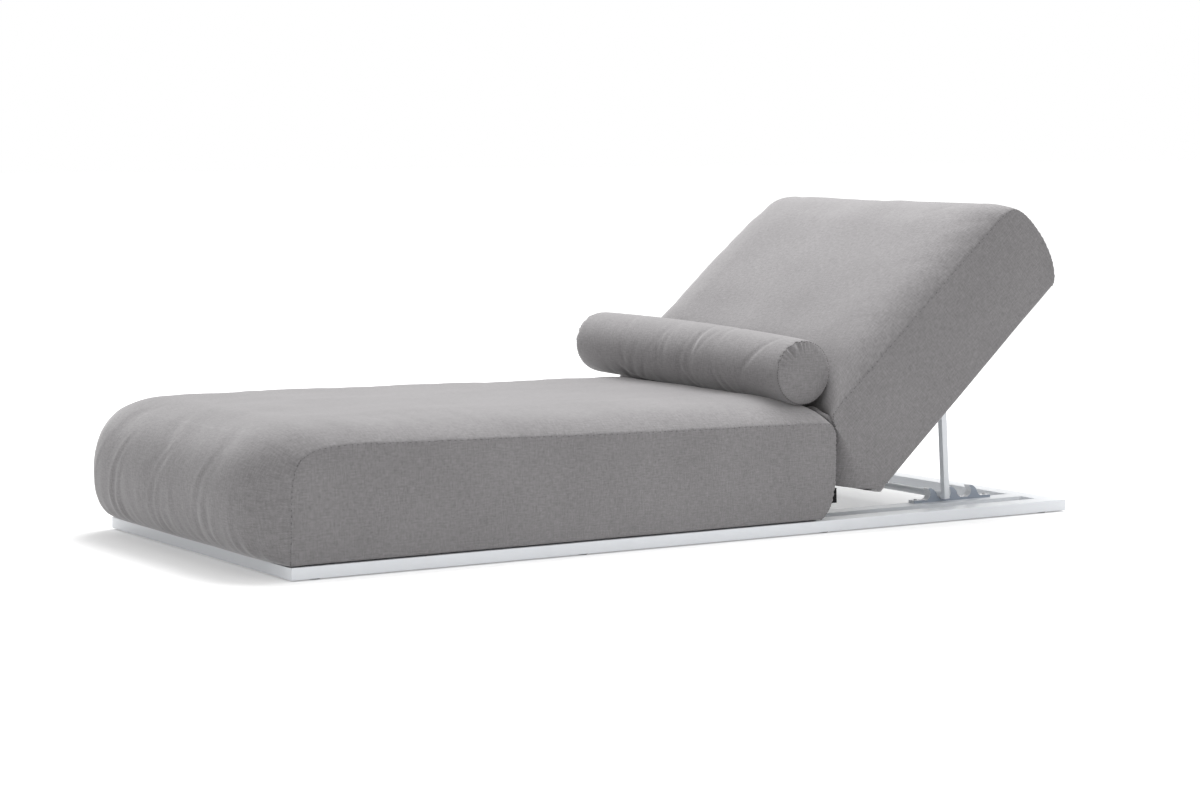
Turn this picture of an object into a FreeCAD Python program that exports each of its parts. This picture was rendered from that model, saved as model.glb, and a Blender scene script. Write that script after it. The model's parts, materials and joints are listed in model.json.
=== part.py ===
import FreeCAD, Part
import math
import os

from FreeCAD import Placement, Rotation, Vector

# Reclining sun lounger in millimetres: +X is the near side, +Y runs from the foot to the head, +Z is up.
# The origin lies on the floor, midway between the bulged foot end and the head rail.

SIZES = {
    # Base frame of rectangular tube
    "frame_length": 2000.0,
    "frame_width": 900.0,
    "rail_width": 50.0,
    "rail_height": 25.0,
    "rail_wall": 2.0,
    "rail_gap": 50.0,
    "glide_height": 3.0,
    "glide_diameter": 30.0,
    "glide_inset": 60.0,
    "cross_rail_place": 420.0,
    # Seat
    "seat_length": 1326.0,
    "seat_side_height": 237.0,
    "seat_crown": 45.0,
    "seat_rear_drop": 18.0,
    "foot_bulge": 82.0,
    "side_swell": 1.0,
    "foot_round": 118.0,
    "seat_rear_round": 105.0,
    "seat_deck_thickness": 12.0,
    "seat_deck_inset": 30.0,
    "core_inset": 60.0,
    "core_cover": 48.0,
    # Hinge between seat and back
    "hinge_setback": 8.0,
    "hinge_height": 217.0,
    "hinge_inset": 80.0,
    "leaf_width": 60.0,
    "leaf_thickness": 4.0,
    "knuckle_diameter": 14.0,
    "knuckle_length": 20.0,
    "hinge_pin_diameter": 8.0,
    "hinge_pin_head": 12.0,
    "hinge_pin_head_height": 2.0,
    "leaf_foot": 26.0,
    "leaf_screw_diameter": 5.0,
    "leaf_screw_head": 9.0,
    "leaf_screw_head_height": 2.5,
    "leaf_screw_spread": 36.0,
    # Back rest, measured lying flat
    "recline_angle": 42.0,
    "back_length": 700.0,
    "back_thickness": 228.0,
    "back_crown": 49.0,
    "back_top_bulge": 12.0,
    "back_lower_round": 100.0,
    "back_top_round": 40.0,
    "back_rear_round": 44.0,
    "back_rest_gap": 2.0,
    "back_tube_width": 22.0,
    "back_tube_height": 35.0,
    "back_tube_chamfer": 28.0,
    "back_deck_thickness": 10.0,
    "back_skirt": 14.0,
    "back_top_skirt": 15.5,
    "back_upper_height": 12.0,
    # Fasteners of the decks
    "rivet_diameter": 6.0,
    "rivet_pitch": 290.0,
    # Ratchet racks
    "rack_setback": 328.5,
    "rack_width": 20.0,
    "rack_tongue": 23.0,
    "rack_base": 6.0,
    "rack_rise": 26.0,
    "rack_pitch": 60.0,
    "rack_screw_diameter": 4.0,
    "rack_screw_head": 8.0,
    "rack_screw_head_height": 2.5,
    # Prop stand
    "prop_tube": 15.0,
    "prop_wall": 1.5,
    "prop_clearance": 3.0,
    "prop_bar_diameter": 16.0,
    "prop_pin_diameter": 8.0,
    "prop_pin_depth": 6.0,
    "prop_lean_angle": 3.5,
    "prop_cap": 2.0,
    "bush_diameter": 12.0,
    "lug_width": 16.0,
    "lug_length": 34.0,
    # Bolster
    "bolster_diameter": 151.0,
    "bolster_length": 840.0,
    "bolster_shift": -30.0,
    "bolster_setback": 50.5,
    "bolster_swell": 3.0,
    "bolster_end_dome": 12.0,
    "bolster_edge": 14.0,
    "bolster_end_flat": 10.0,
    "bolster_core_wall": 18.0,
    # Blank label tab
    "tab_height": 33.0,
    "tab_reach": 9.0,
    "tab_thickness": 1.5,
    "tab_lift": 38.0,
    # Clearances and cutting overrun
    "running_clearance": 0.1,
    "soft_clearance": 0.3,
    "overrun": 5.0,
}

doc = FreeCAD.newDocument("sun_lounger")
sheet = doc.addObject("Spreadsheet::Sheet", "dim")
for row, (alias, number) in enumerate(SIZES.items(), start=1):
    sheet.set(f"A{row}", alias)
    sheet.set(f"B{row}", str(number))
    sheet.setAlias(f"B{row}", alias)
doc.recompute()


def size(alias):
    """One driving dimension, read from the sheet."""
    return float(sheet.get(alias))


# Levels and lines that several pieces share, worked out from the sheet
HALF_WIDTH = size("frame_width") / 2
FOOT_Y = -(size("frame_length") - size("foot_bulge")) / 2
HEAD_Y = FOOT_Y + size("frame_length")
RAIL_TOP = size("glide_height") + size("rail_height")
INNER_OUT = HALF_WIDTH - size("rail_width") - size("rail_gap")
INNER_IN = INNER_OUT - size("rail_width")
DECK_TOP = RAIL_TOP + size("seat_deck_thickness")
SEAT_END = FOOT_Y + size("seat_length")
HINGE_X = INNER_IN - size("hinge_inset")
HINGE = Vector(0, SEAT_END + size("hinge_setback"), size("hinge_height"))
KNUCKLE_R = size("knuckle_diameter") / 2
BACK_START = HINGE.y + KNUCKLE_R
BACK_FLOOR = RAIL_TOP + size("back_rest_gap")
COVER_START = HINGE.y + size("hinge_setback") + size("soft_clearance")
COVER_END = COVER_START + size("back_length")
BACK_DECK_FLOOR = BACK_FLOOR + size("back_tube_height")
BACK_DECK_TOP = BACK_DECK_FLOOR + size("back_deck_thickness")
BACK_HALF = HALF_WIDTH - size("back_skirt")
BACK_TUBE_END = COVER_END - size("back_top_skirt")
TILT = Placement(Vector(), Rotation(Vector(1, 0, 0), size("recline_angle")), HINGE)
SUB_PARTS = []


def keep(item, label):
    """Name a finished sub-part and list it for the hand-over."""
    item.Label = label
    SUB_PARTS.append(item)
    return item


def tilted(item):
    """Swing a back-rest piece from lying flat to its propped angle."""
    item.Placement = TILT.multiply(item.Placement)
    return item


def box(name, length, width, height, corner):
    """A box whose three sizes are expressions of the sheet, with its lowest corner at a point."""
    item = doc.addObject("Part::Box", name)
    for side, expression in (("Length", length), ("Width", width), ("Height", height)):
        item.setExpression(side, expression)
    item.Placement.Base = Vector(*corner)
    return item


def rod(name, diameter, height, start, along=Vector(0, 0, 1)):
    """A cylinder whose diameter and height are expressions, from a point along an axis."""
    item = doc.addObject("Part::Cylinder", name)
    item.setExpression("Radius", f"({diameter}) / 2")
    item.setExpression("Height", height)
    item.Placement = Placement(Vector(*start), Rotation(Vector(0, 0, 1), along))
    return item


def fused(name, pieces):
    """One piece welded or formed from several shapes."""
    item = doc.addObject("Part::MultiFuse", name)
    item.Shapes = pieces
    return item


def cut(name, base, tools):
    """A piece with every tool shape taken out of it."""
    tool = tools[0] if len(tools) == 1 else fused(f"{name}_tools", tools)
    item = doc.addObject("Part::Cut", name)
    item.Base = base
    item.Tool = tool
    return item


def group(name, pieces):
    """Identical separate solids that share one node."""
    item = doc.addObject("Part::Compound", name)
    item.Links = pieces
    return item


def shaped(name, shape):
    """A piece whose form neither a primitive nor a sketch gives."""
    item = doc.addObject("Part::Feature", name)
    item.Shape = shape
    return item


X_AXIS = Vector(1, 0, 0)
Y_AXIS = Vector(0, 1, 0)
Z_AXIS = Vector(0, 0, 1)
SIDES = (("left", -1), ("right", 1))


# Base frame: four mitred rails, two inner rails and two cross rails
def mitred_rail(label, length, middle, turn):
    """A hollow rail whose two ends are cut at 45 degrees, its outer edge on the frame's outline.

    The rail is drawn with its outer edge on the local X axis and its inside towards local +Y.
    """

    def plan(near, far):
        half = length / 2
        corners = [(-half + near, near), (half - near, near), (half - far, far), (-half + far, far)]
        return [Vector(x, y, 0) for x, y in corners]

    def prism(near, far, low, high):
        points = plan(near, far)
        face = Part.Face(Part.makePolygon(points + points[:1]))
        face.translate(Vector(0, 0, low))
        return face.extrude(Vector(0, 0, high - low))

    wall = size("rail_wall")
    floor = size("glide_height")
    outside = prism(0, size("rail_width"), floor, RAIL_TOP)
    bore = prism(wall, size("rail_width") - wall, floor + wall, RAIL_TOP - wall)
    item = shaped(label, outside.cut(bore))
    item.Placement = Placement(middle, Rotation(Z_AXIS, turn))
    return keep(item, label)


def rectangular_tube(name, length, corner, along, width="dim.rail_width", height="dim.rail_height"):
    """A straight open-ended tube from its lowest corner along X or Y."""
    wall_size = size("rail_wall")
    inner_width = f"{width} - 2 * dim.rail_wall"
    inner_height = f"{height} - 2 * dim.rail_wall"
    x, y, z = corner
    if along == X_AXIS:
        outside = box(f"{name}_outside", length, width, height, corner)
        bore = box(f"{name}_bore", length, inner_width, inner_height, (x, y + wall_size, z + wall_size))
    else:
        outside = box(f"{name}_outside", width, length, height, corner)
        bore = box(f"{name}_bore", inner_width, length, inner_height, (x + wall_size, y, z + wall_size))
    return cut(name, outside, [bore])


mitred_rail("foot_rail", size("frame_width"), Vector(0, FOOT_Y, 0), 0)
mitred_rail("head_rail", size("frame_width"), Vector(0, HEAD_Y, 0), 180)
mitred_rail("outer_rail_left", size("frame_length"), Vector(-HALF_WIDTH, (FOOT_Y + HEAD_Y) / 2, 0), -90)
mitred_rail("outer_rail_right", size("frame_length"), Vector(HALF_WIDTH, (FOOT_Y + HEAD_Y) / 2, 0), 90)

RACK_START = SEAT_END + size("rack_setback")
RACK_HUMPS = 3
RACK_END = RACK_START + 2 * size("rack_tongue") + RACK_HUMPS * size("rack_pitch")
RACK_SCREW_YS = (RACK_START + size("rack_tongue") / 2, RACK_END - size("rack_tongue") / 2)
RACK_X = INNER_IN + size("rack_width") / 2


def rack_screw_places(sign):
    """The two screw places of one rack, on top of its rail."""
    return [(sign * RACK_X, y, RAIL_TOP) for y in RACK_SCREW_YS]


def rivet_rows(first, last):
    """Evenly pitched rivet places between two lines."""
    count = max(2, int((last - first) // size("rivet_pitch")) + 1)
    return [first + (last - first) * step / (count - 1) for step in range(count)]


DECK_FRONT = FOOT_Y + size("seat_deck_inset")
DECK_REAR = HINGE.y - KNUCKLE_R - size("leaf_foot")
SEAT_RIVET_YS = rivet_rows(DECK_FRONT + size("seat_deck_inset"), DECK_REAR - size("seat_deck_inset"))
INNER_MIDDLE = (INNER_IN + INNER_OUT) / 2
INNER_LENGTH = "dim.frame_length - 2 * dim.rail_width"


def hole_rods(name, diameter, places, depth_up, depth_down):
    """Round cutters through a level, one for each place."""
    total = f"{depth_up} + {depth_down}"
    below = size(depth_down.removeprefix("dim."))
    return [rod(f"{name}_{i}", diameter, total, (x, y, z - below)) for i, (x, y, z) in enumerate(places)]


for side, sign in SIDES:
    low_x = INNER_IN if sign > 0 else -INNER_OUT
    tube = rectangular_tube(
        f"inner_tube_{side}", INNER_LENGTH, (low_x, FOOT_Y + size("rail_width"), size("glide_height")), Y_AXIS
    )
    rivets = [(sign * INNER_MIDDLE, y, RAIL_TOP) for y in SEAT_RIVET_YS]
    holes = hole_rods(f"inner_rivet_hole_{side}", "dim.rivet_diameter", rivets, "dim.overrun", "dim.overrun")
    holes += hole_rods(
        f"inner_rack_hole_{side}",
        "dim.rack_screw_diameter + 2 * dim.running_clearance",
        rack_screw_places(sign),
        "dim.overrun",
        "dim.overrun",
    )
    keep(cut(f"inner_rail_{side}", tube, holes), f"inner_rail_{side}")

CROSS_LENGTH = "dim.frame_width - 4 * dim.rail_width - 2 * dim.rail_gap"
CROSS_REAR_Y = DECK_REAR - (size("rail_width") - size("leaf_foot")) / 2
LEAF_SCREW_Y = DECK_REAR + (size("leaf_foot") - size("leaf_thickness")) / 2


def leaf_screw_xs(sign):
    """The two screw places across one hinge leaf."""
    middle = sign * HINGE_X
    half = size("leaf_screw_spread") / 2
    return (middle - half, middle + half)


front_corner = (-INNER_IN, FOOT_Y + size("cross_rail_place"), size("glide_height"))
keep(rectangular_tube("cross_rail_front", CROSS_LENGTH, front_corner, X_AXIS), "cross_rail_front")
rear_tube = rectangular_tube(
    "cross_tube_rear", CROSS_LENGTH, (-INNER_IN, CROSS_REAR_Y, size("glide_height")), X_AXIS
)
SEAT_LEAF_SCREWS = [(x, LEAF_SCREW_Y, RAIL_TOP) for _, sign in SIDES for x in leaf_screw_xs(sign)]
LEAF_HOLE = "dim.leaf_screw_diameter + 2 * dim.running_clearance"
rear_holes = hole_rods("cross_rear_hole", LEAF_HOLE, SEAT_LEAF_SCREWS, "dim.overrun", "dim.overrun")
keep(cut("cross_rail_rear", rear_tube, rear_holes), "cross_rail_rear")

# Floor glides under the outer rails
GLIDE_YS = rivet_rows(FOOT_Y + size("glide_inset"), HEAD_Y - size("glide_inset"))[::2]
GLIDE_X = HALF_WIDTH - size("rail_width") / 2
glides = [
    rod(f"glide_{side}_{i}", "dim.glide_diameter", "dim.glide_height", (sign * GLIDE_X, y, 0))
    for side, sign in SIDES
    for i, y in enumerate(GLIDE_YS)
]
keep(group("floor_glides", glides), "floor_glides")

# Seat deck on the rails, held by flush rivets
deck_plate = box(
    "seat_deck_plate",
    "dim.frame_width - 2 * dim.seat_deck_inset",
    "dim.seat_length + dim.hinge_setback - dim.knuckle_diameter / 2 - dim.leaf_foot - dim.seat_deck_inset",
    "dim.seat_deck_thickness",
    (-HALF_WIDTH + size("seat_deck_inset"), DECK_FRONT, RAIL_TOP),
)
SEAT_RIVETS = [(sign * INNER_MIDDLE, y, RAIL_TOP) for _, sign in SIDES for y in SEAT_RIVET_YS]
SEAT_DECK_THROUGH = "dim.seat_deck_thickness + dim.overrun"
deck_holes = hole_rods("seat_deck_hole", "dim.rivet_diameter", SEAT_RIVETS, SEAT_DECK_THROUGH, "dim.overrun")
keep(cut("seat_deck", deck_plate, deck_holes), "seat_deck")
seat_rivets = hole_rods(
    "seat_rivet",
    "dim.rivet_diameter - 2 * dim.running_clearance",
    SEAT_RIVETS,
    "dim.seat_deck_thickness",
    "dim.rail_wall",
)
keep(group("seat_deck_rivets", seat_rivets), "seat_deck_rivets")

# Soft forms: profiles of lines and arcs at several places across the width, lofted into one crowned body
SECTION_SHARES = (-1.0, -0.985, -0.94, -0.8, -0.45, 0.0, 0.45, 0.8, 0.94, 0.985, 1.0)
CROWN_POWER = 6


def swell_share(across):
    """How much of the full crown a place across the width has: steep at the seam, flat in the middle."""
    return math.sqrt(1 - abs(across) ** CROWN_POWER)


def swelling_arc(upright, end):
    """An arc that leaves its first point straight up or down and bends away to its second point."""
    across = end.y - upright.y
    rise = end.z - upright.z
    radius = (across**2 + rise**2) / (2 * abs(across))
    towards = math.copysign(1, across)
    half_turn = math.atan2(abs(rise), radius - abs(across)) / 2
    middle = Vector(
        upright.x,
        upright.y + towards * radius * (1 - math.cos(half_turn)),
        upright.z + math.copysign(radius * math.sin(half_turn), rise),
    )
    return Part.Arc(upright, middle, end)


# How the rounded edges of the soft forms grow from the side seam to the middle of the width
SEAT_REAR_SEAM_SHARE = 0.45
SEAT_REAR_HEIGHT_SHARE = 0.8
SEAT_FOOT_SEAM_SHARE = 0.6
SEAT_BELLY_SHARE = 0.5
BACK_LOWER_SEAM_SHARE = 0.4
BACK_LOWER_HEIGHT_SHARE = 1.1
BACK_END_DROP_SHARE = 0.45
BACK_TOP_GROWTH_SHARE = 0.6
ARC_MIDDLE_SHARE = 1 - math.sqrt(0.5)


def grown(full, seam_share, share):
    """A size that is a share of its full value at the side seam and whole in the middle."""
    return full * (seam_share + (1 - seam_share) * share)


def crowned_line(start, crest, end):
    """An arc over its crest, or a straight line at the seam, where there is no crown."""
    if crest.z - start.z > size("running_clearance"):
        return Part.Arc(start, crest, end)
    return Part.LineSegment(start, end)


def profile_wire(edges):
    """A closed section from its lines and arcs, in order."""
    return Part.Wire([edge.toShape() for edge in edges])


def seat_profile(x, share):
    """The seat's section: upright rear end, rounded shoulders, crowned top and bulged foot end."""
    floor = RAIL_TOP + size("soft_clearance")
    top = RAIL_TOP + size("seat_side_height") + share * size("seat_crown")
    rear_top = top - size("seat_rear_drop")
    rear_round = grown(size("seat_rear_round"), SEAT_REAR_SEAM_SHARE, share)
    foot_round = grown(size("foot_round"), SEAT_FOOT_SEAM_SHARE, share)
    front = FOOT_Y - size("side_swell") - share * (size("foot_bulge") - size("side_swell"))
    lower_rear = Vector(x, SEAT_END, floor)
    upper_rear = Vector(x, SEAT_END, rear_top - SEAT_REAR_HEIGHT_SHARE * rear_round)
    top_rear = Vector(x, SEAT_END - rear_round, rear_top)
    top_front = Vector(x, front + foot_round, top)
    belly = Vector(x, front, floor + SEAT_BELLY_SHARE * size("seat_side_height"))
    lower_front = Vector(x, FOOT_Y, floor)
    return profile_wire([
        Part.LineSegment(lower_rear, upper_rear),
        swelling_arc(upper_rear, top_rear),
        Part.LineSegment(top_rear, top_front),
        swelling_arc(belly, top_front),
        swelling_arc(belly, lower_front),
        Part.LineSegment(lower_front, lower_rear),
    ])


def back_profile(x, share):
    """The back's section lying flat: upright lower end, rounded front edges, crowned front, full top end."""
    crest = BACK_FLOOR + size("back_thickness") + share * size("back_crown")
    front = crest - BACK_END_DROP_SHARE * share * size("back_crown")
    lower_round = grown(size("back_lower_round"), BACK_LOWER_SEAM_SHARE, share)
    top_round = size("back_top_round") * (1 + BACK_TOP_GROWTH_SHARE * share)
    rear_round = size("back_rear_round")
    end = COVER_END + size("back_top_bulge") * share
    lower_rear = Vector(x, COVER_START, BACK_FLOOR)
    lower_shoulder = Vector(x, COVER_START, front - BACK_LOWER_HEIGHT_SHARE * lower_round)
    front_low = Vector(x, COVER_START + lower_round, front)
    front_high = Vector(x, end - top_round, front)
    front_crest = Vector(x, (front_low.y + front_high.y) / 2, crest)
    end_front = Vector(x, end, front - top_round)
    end_rear = Vector(x, end, BACK_FLOOR + rear_round)
    end_middle = (end_front + end_rear) / 2 + Vector(0, size("back_top_bulge") / 2, 0)
    rear_middle = Vector(x, end - ARC_MIDDLE_SHARE * rear_round, BACK_FLOOR + ARC_MIDDLE_SHARE * rear_round)
    rear_high = Vector(x, end - rear_round, BACK_FLOOR)
    return profile_wire([
        Part.LineSegment(lower_rear, lower_shoulder),
        swelling_arc(lower_shoulder, front_low),
        crowned_line(front_low, front_crest, front_high),
        swelling_arc(end_front, front_high),
        Part.Arc(end_front, end_middle, end_rear),
        Part.Arc(end_rear, rear_middle, rear_high),
        Part.LineSegment(rear_high, lower_rear),
    ])


def cushion_form(profile):
    """A smooth solid through the profile at every place across the width."""
    wires = [profile(across * HALF_WIDTH, swell_share(across)) for across in SECTION_SHARES]
    return Part.makeLoft(wires, True, False)


def block(low, high):
    """A plain box shape between two corners."""
    sides = high - low
    return Part.makeBox(sides.x, sides.y, sides.z, low)


# Seat core and its padded cover, which is open below for the deck
SEAT_CORE_TOP = RAIL_TOP + size("seat_side_height") - size("core_cover")
seat_core_low = Vector(-HALF_WIDTH + size("core_inset"), FOOT_Y + size("core_inset"), DECK_TOP)
seat_core_high = Vector(HALF_WIDTH - size("core_inset"), SEAT_END - size("core_inset"), SEAT_CORE_TOP)
keep(
    box(
        "seat_foam",
        "dim.frame_width - 2 * dim.core_inset",
        "dim.seat_length - 2 * dim.core_inset",
        "dim.seat_side_height - dim.core_cover - dim.seat_deck_thickness",
        seat_core_low,
    ),
    "seat_foam",
)
CLEAR = Vector(size("soft_clearance"), size("soft_clearance"), size("soft_clearance"))
deck_room = block(
    Vector(-HALF_WIDTH + size("seat_deck_inset"), DECK_FRONT, RAIL_TOP) - CLEAR,
    Vector(HALF_WIDTH - size("seat_deck_inset"), SEAT_END + size("overrun"), DECK_TOP) + CLEAR,
)
seat_room = block(seat_core_low - CLEAR, seat_core_high + CLEAR)
seat_cover = cushion_form(seat_profile).cut(deck_room.fuse(seat_room))
keep(shaped("seat_cover", seat_cover), "seat_cover")

# Blank label tab sewn into the near rear edge of the seat
keep(
    box(
        "label_tab",
        "dim.tab_thickness",
        "dim.tab_reach",
        "dim.tab_height",
        (HALF_WIDTH - 2 * size("tab_thickness"), SEAT_END, RAIL_TOP + size("tab_lift")),
    ),
    "label_tab",
)

# Back frame, lying flat and then tilted: two side tubes, two end tubes, a deck and its rivets
BACK_TUBE = {"width": "dim.back_tube_width", "height": "dim.back_tube_height"}
BACK_TUBE_LENGTH = (
    "dim.back_length + dim.hinge_setback + dim.soft_clearance - dim.back_top_skirt - dim.knuckle_diameter / 2"
)


def end_chamfer(low_x):
    """The corner that is cut off a side tube's upper end, so that it stays inside the rounded cover."""
    reach = size("back_tube_chamfer")
    beyond = size("overrun")
    points = [
        Vector(low_x, BACK_TUBE_END - reach - beyond, BACK_FLOOR - beyond),
        Vector(low_x, BACK_TUBE_END + beyond, BACK_FLOOR - beyond),
        Vector(low_x, BACK_TUBE_END + beyond, BACK_FLOOR + reach + beyond),
    ]
    return Part.Face(Part.makePolygon(points + points[:1])).extrude(X_AXIS * size("back_tube_width"))


for side, sign in SIDES:
    low_x = BACK_HALF - size("back_tube_width") if sign > 0 else -BACK_HALF
    tube = rectangular_tube(
        f"back_tube_{side}", BACK_TUBE_LENGTH, (low_x, BACK_START, BACK_FLOOR), Y_AXIS, **BACK_TUBE
    )
    places = [(low_x + size("back_tube_width") / 2, y, BACK_DECK_FLOOR)
              for y in rivet_rows(BACK_START + size("core_inset"), BACK_TUBE_END - size("core_inset"))]
    holes = hole_rods(f"back_tube_hole_{side}", "dim.rivet_diameter", places, "dim.overrun", "dim.overrun")
    holes.append(shaped(f"back_tube_mitre_{side}", end_chamfer(low_x)))
    keep(tilted(cut(f"back_rail_{side}", tube, holes)), f"back_rail_{side}")

END_LENGTH = "dim.frame_width - 2 * dim.back_skirt - 2 * dim.back_tube_width"
END_X = -BACK_HALF + size("back_tube_width")
lower_corner = (END_X, BACK_START, BACK_FLOOR)
lower_tube = rectangular_tube("back_tube_lower", END_LENGTH, lower_corner, X_AXIS, **BACK_TUBE)
LEAF_SCREW_Z = BACK_FLOOR + size("back_tube_height") / 2


def crosswise_rods(name, diameter, length, start_y):
    """Rods along the lounger at the four screw places of the moving hinge leaves."""
    return [
        rod(f"{name}_{i}", diameter, length, (x, start_y, LEAF_SCREW_Z), Y_AXIS)
        for i, x in enumerate(x for _, sign in SIDES for x in leaf_screw_xs(sign))
    ]


lower_holes = crosswise_rods("back_lower_hole", LEAF_HOLE, "2 * dim.overrun", BACK_START - size("overrun"))
keep(tilted(cut("back_rail_lower", lower_tube, lower_holes)), "back_rail_lower")
upper_corner = (END_X, BACK_TUBE_END - size("back_tube_width"), BACK_DECK_FLOOR - size("back_upper_height"))
upper_tube = rectangular_tube(
    "back_tube_upper", END_LENGTH, upper_corner, X_AXIS, "dim.back_tube_width", "dim.back_upper_height"
)
keep(tilted(upper_tube), "back_rail_upper")

back_plate = box(
    "back_deck_plate",
    "dim.frame_width - 2 * dim.back_skirt",
    BACK_TUBE_LENGTH,
    "dim.back_deck_thickness",
    (-BACK_HALF, BACK_START, BACK_DECK_FLOOR),
)
BACK_RIVETS = [
    (sign * (BACK_HALF - size("back_tube_width") / 2), y, BACK_DECK_FLOOR)
    for _, sign in SIDES
    for y in rivet_rows(BACK_START + size("core_inset"), BACK_TUBE_END - size("core_inset"))
]
BACK_DECK_THROUGH = "dim.back_deck_thickness + dim.overrun"
deck_holes = hole_rods("back_deck_hole", "dim.rivet_diameter", BACK_RIVETS, BACK_DECK_THROUGH, "dim.overrun")
keep(tilted(cut("back_deck", back_plate, deck_holes)), "back_deck")
back_rivets = hole_rods(
    "back_rivet",
    "dim.rivet_diameter - 2 * dim.running_clearance",
    BACK_RIVETS,
    "dim.back_deck_thickness",
    "dim.rail_wall",
)
keep(tilted(group("back_deck_rivets", back_rivets)), "back_deck_rivets")

BACK_CORE_TOP = BACK_FLOOR + size("back_thickness") - size("core_cover")
back_core_low = Vector(-HALF_WIDTH + size("core_inset"), COVER_START + size("core_inset"), BACK_DECK_TOP)
back_core_high = Vector(HALF_WIDTH - size("core_inset"), COVER_END - size("core_inset"), BACK_CORE_TOP)
back_foam = box(
    "back_foam",
    "dim.frame_width - 2 * dim.core_inset",
    "dim.back_length - 2 * dim.core_inset",
    "dim.back_thickness - dim.core_cover - dim.back_tube_height - dim.back_deck_thickness",
    back_core_low,
)
keep(tilted(back_foam), "back_foam")
frame_room = block(
    Vector(-BACK_HALF, BACK_START - size("overrun"), BACK_FLOOR - size("overrun")) - CLEAR,
    Vector(BACK_HALF, BACK_TUBE_END, BACK_DECK_TOP) + CLEAR,
)
back_room = block(back_core_low - CLEAR, back_core_high + CLEAR)
back_cover = cushion_form(back_profile).cut(frame_room.fuse(back_room))
keep(tilted(shaped("back_cover", back_cover)), "back_cover")


# Recline hinges: tall leaves in the crease between seat and back, turning on pins
def knuckle(name, middle, length):
    """A hinge barrel centred at one X on the recline axis."""
    start = (middle - size(length.removeprefix("dim.")) / 2, HINGE.y, HINGE.z)
    return rod(name, "dim.knuckle_diameter", length, start, X_AXIS)


def pin_bore(name, middle):
    """The hole for the hinge pin, right through every barrel."""
    start = (middle - size("leaf_width"), HINGE.y, HINGE.z)
    diameter = "dim.hinge_pin_diameter + 2 * dim.running_clearance"
    return rod(name, diameter, "2 * dim.leaf_width", start, X_AXIS)


OUTER_KNUCKLE = "(dim.leaf_width - dim.knuckle_length) / 2 - dim.soft_clearance"
OUTER_LENGTH = (size("leaf_width") - size("knuckle_length")) / 2 - size("soft_clearance")
NECK = "dim.knuckle_diameter / 2 + dim.soft_clearance"
NECK_FLOOR = HINGE.z - KNUCKLE_R - size("soft_clearance")
SEAT_LEAF_HEIGHT = f"dim.hinge_height - ({NECK}) - dim.glide_height - dim.rail_height"
BACK_LEAF_HEIGHT = f"{SEAT_LEAF_HEIGHT} - dim.back_rest_gap"
for side, sign in SIDES:
    middle = sign * HINGE_X
    low_x = middle - size("leaf_width") / 2
    seat_y = HINGE.y - KNUCKLE_R
    plate = box(
        f"seat_leaf_plate_{side}", "dim.leaf_width", "dim.leaf_thickness", SEAT_LEAF_HEIGHT,
        (low_x, seat_y, RAIL_TOP),
    )
    foot = box(
        f"seat_leaf_foot_{side}",
        "dim.leaf_width",
        "dim.leaf_foot + dim.leaf_thickness",
        "dim.leaf_thickness",
        (low_x, DECK_REAR, RAIL_TOP),
    )
    neck = box(
        f"seat_leaf_neck_{side}", "dim.knuckle_length", "dim.leaf_thickness", NECK,
        (middle - size("knuckle_length") / 2, seat_y, NECK_FLOOR),
    )
    barrel = knuckle(f"seat_knuckle_{side}", middle, "dim.knuckle_length")
    places = [(x, LEAF_SCREW_Y, RAIL_TOP) for x in leaf_screw_xs(sign)]
    holes = hole_rods(f"seat_leaf_hole_{side}", LEAF_HOLE, places, "2 * dim.overrun", "dim.overrun")
    leaf = fused(f"seat_leaf_form_{side}", [plate, foot, neck, barrel])
    holes.append(pin_bore(f"seat_bore_{side}", middle))
    keep(cut(f"seat_leaf_{side}", leaf, holes), f"seat_hinge_leaf_{side}")

    back_y = HINGE.y + KNUCKLE_R - size("leaf_thickness")
    pieces = [
        box(
            f"back_leaf_plate_{side}", "dim.leaf_width", "dim.leaf_thickness", BACK_LEAF_HEIGHT,
            (low_x, back_y, BACK_FLOOR),
        )
    ]
    for place, edge in (("inner", low_x), ("outer", low_x + size("leaf_width") - OUTER_LENGTH)):
        pieces.append(box(
            f"back_leaf_neck_{place}_{side}", OUTER_KNUCKLE, "dim.leaf_thickness", NECK,
            (edge, back_y, NECK_FLOOR),
        ))
        start = (edge, HINGE.y, HINGE.z)
        name = f"back_knuckle_{place}_{side}"
        pieces.append(rod(name, "dim.knuckle_diameter", OUTER_KNUCKLE, start, X_AXIS))
    leaf = fused(f"back_leaf_form_{side}", pieces)
    holes = [
        rod(f"back_leaf_hole_{side}_{i}", LEAF_HOLE, "4 * dim.leaf_thickness",
            (x, back_y - size("leaf_thickness"), LEAF_SCREW_Z), Y_AXIS)
        for i, x in enumerate(leaf_screw_xs(sign))
    ]
    holes.append(pin_bore(f"back_bore_{side}", middle))
    keep(tilted(cut(f"back_leaf_{side}", leaf, holes)), f"back_hinge_leaf_{side}")

    pin_start = (low_x, HINGE.y, HINGE.z)
    shank = rod(f"hinge_pin_shank_{side}", "dim.hinge_pin_diameter", "dim.leaf_width", pin_start, X_AXIS)
    head_starts = (low_x - size("hinge_pin_head_height"), low_x + size("leaf_width"))
    heads = [
        rod(f"hinge_pin_head_{side}_{i}", "dim.hinge_pin_head", "dim.hinge_pin_head_height",
            (x, HINGE.y, HINGE.z), X_AXIS)
        for i, x in enumerate(head_starts)
    ]
    keep(fused(f"hinge_pin_{side}", [shank] + heads), f"hinge_pin_{side}")


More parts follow.
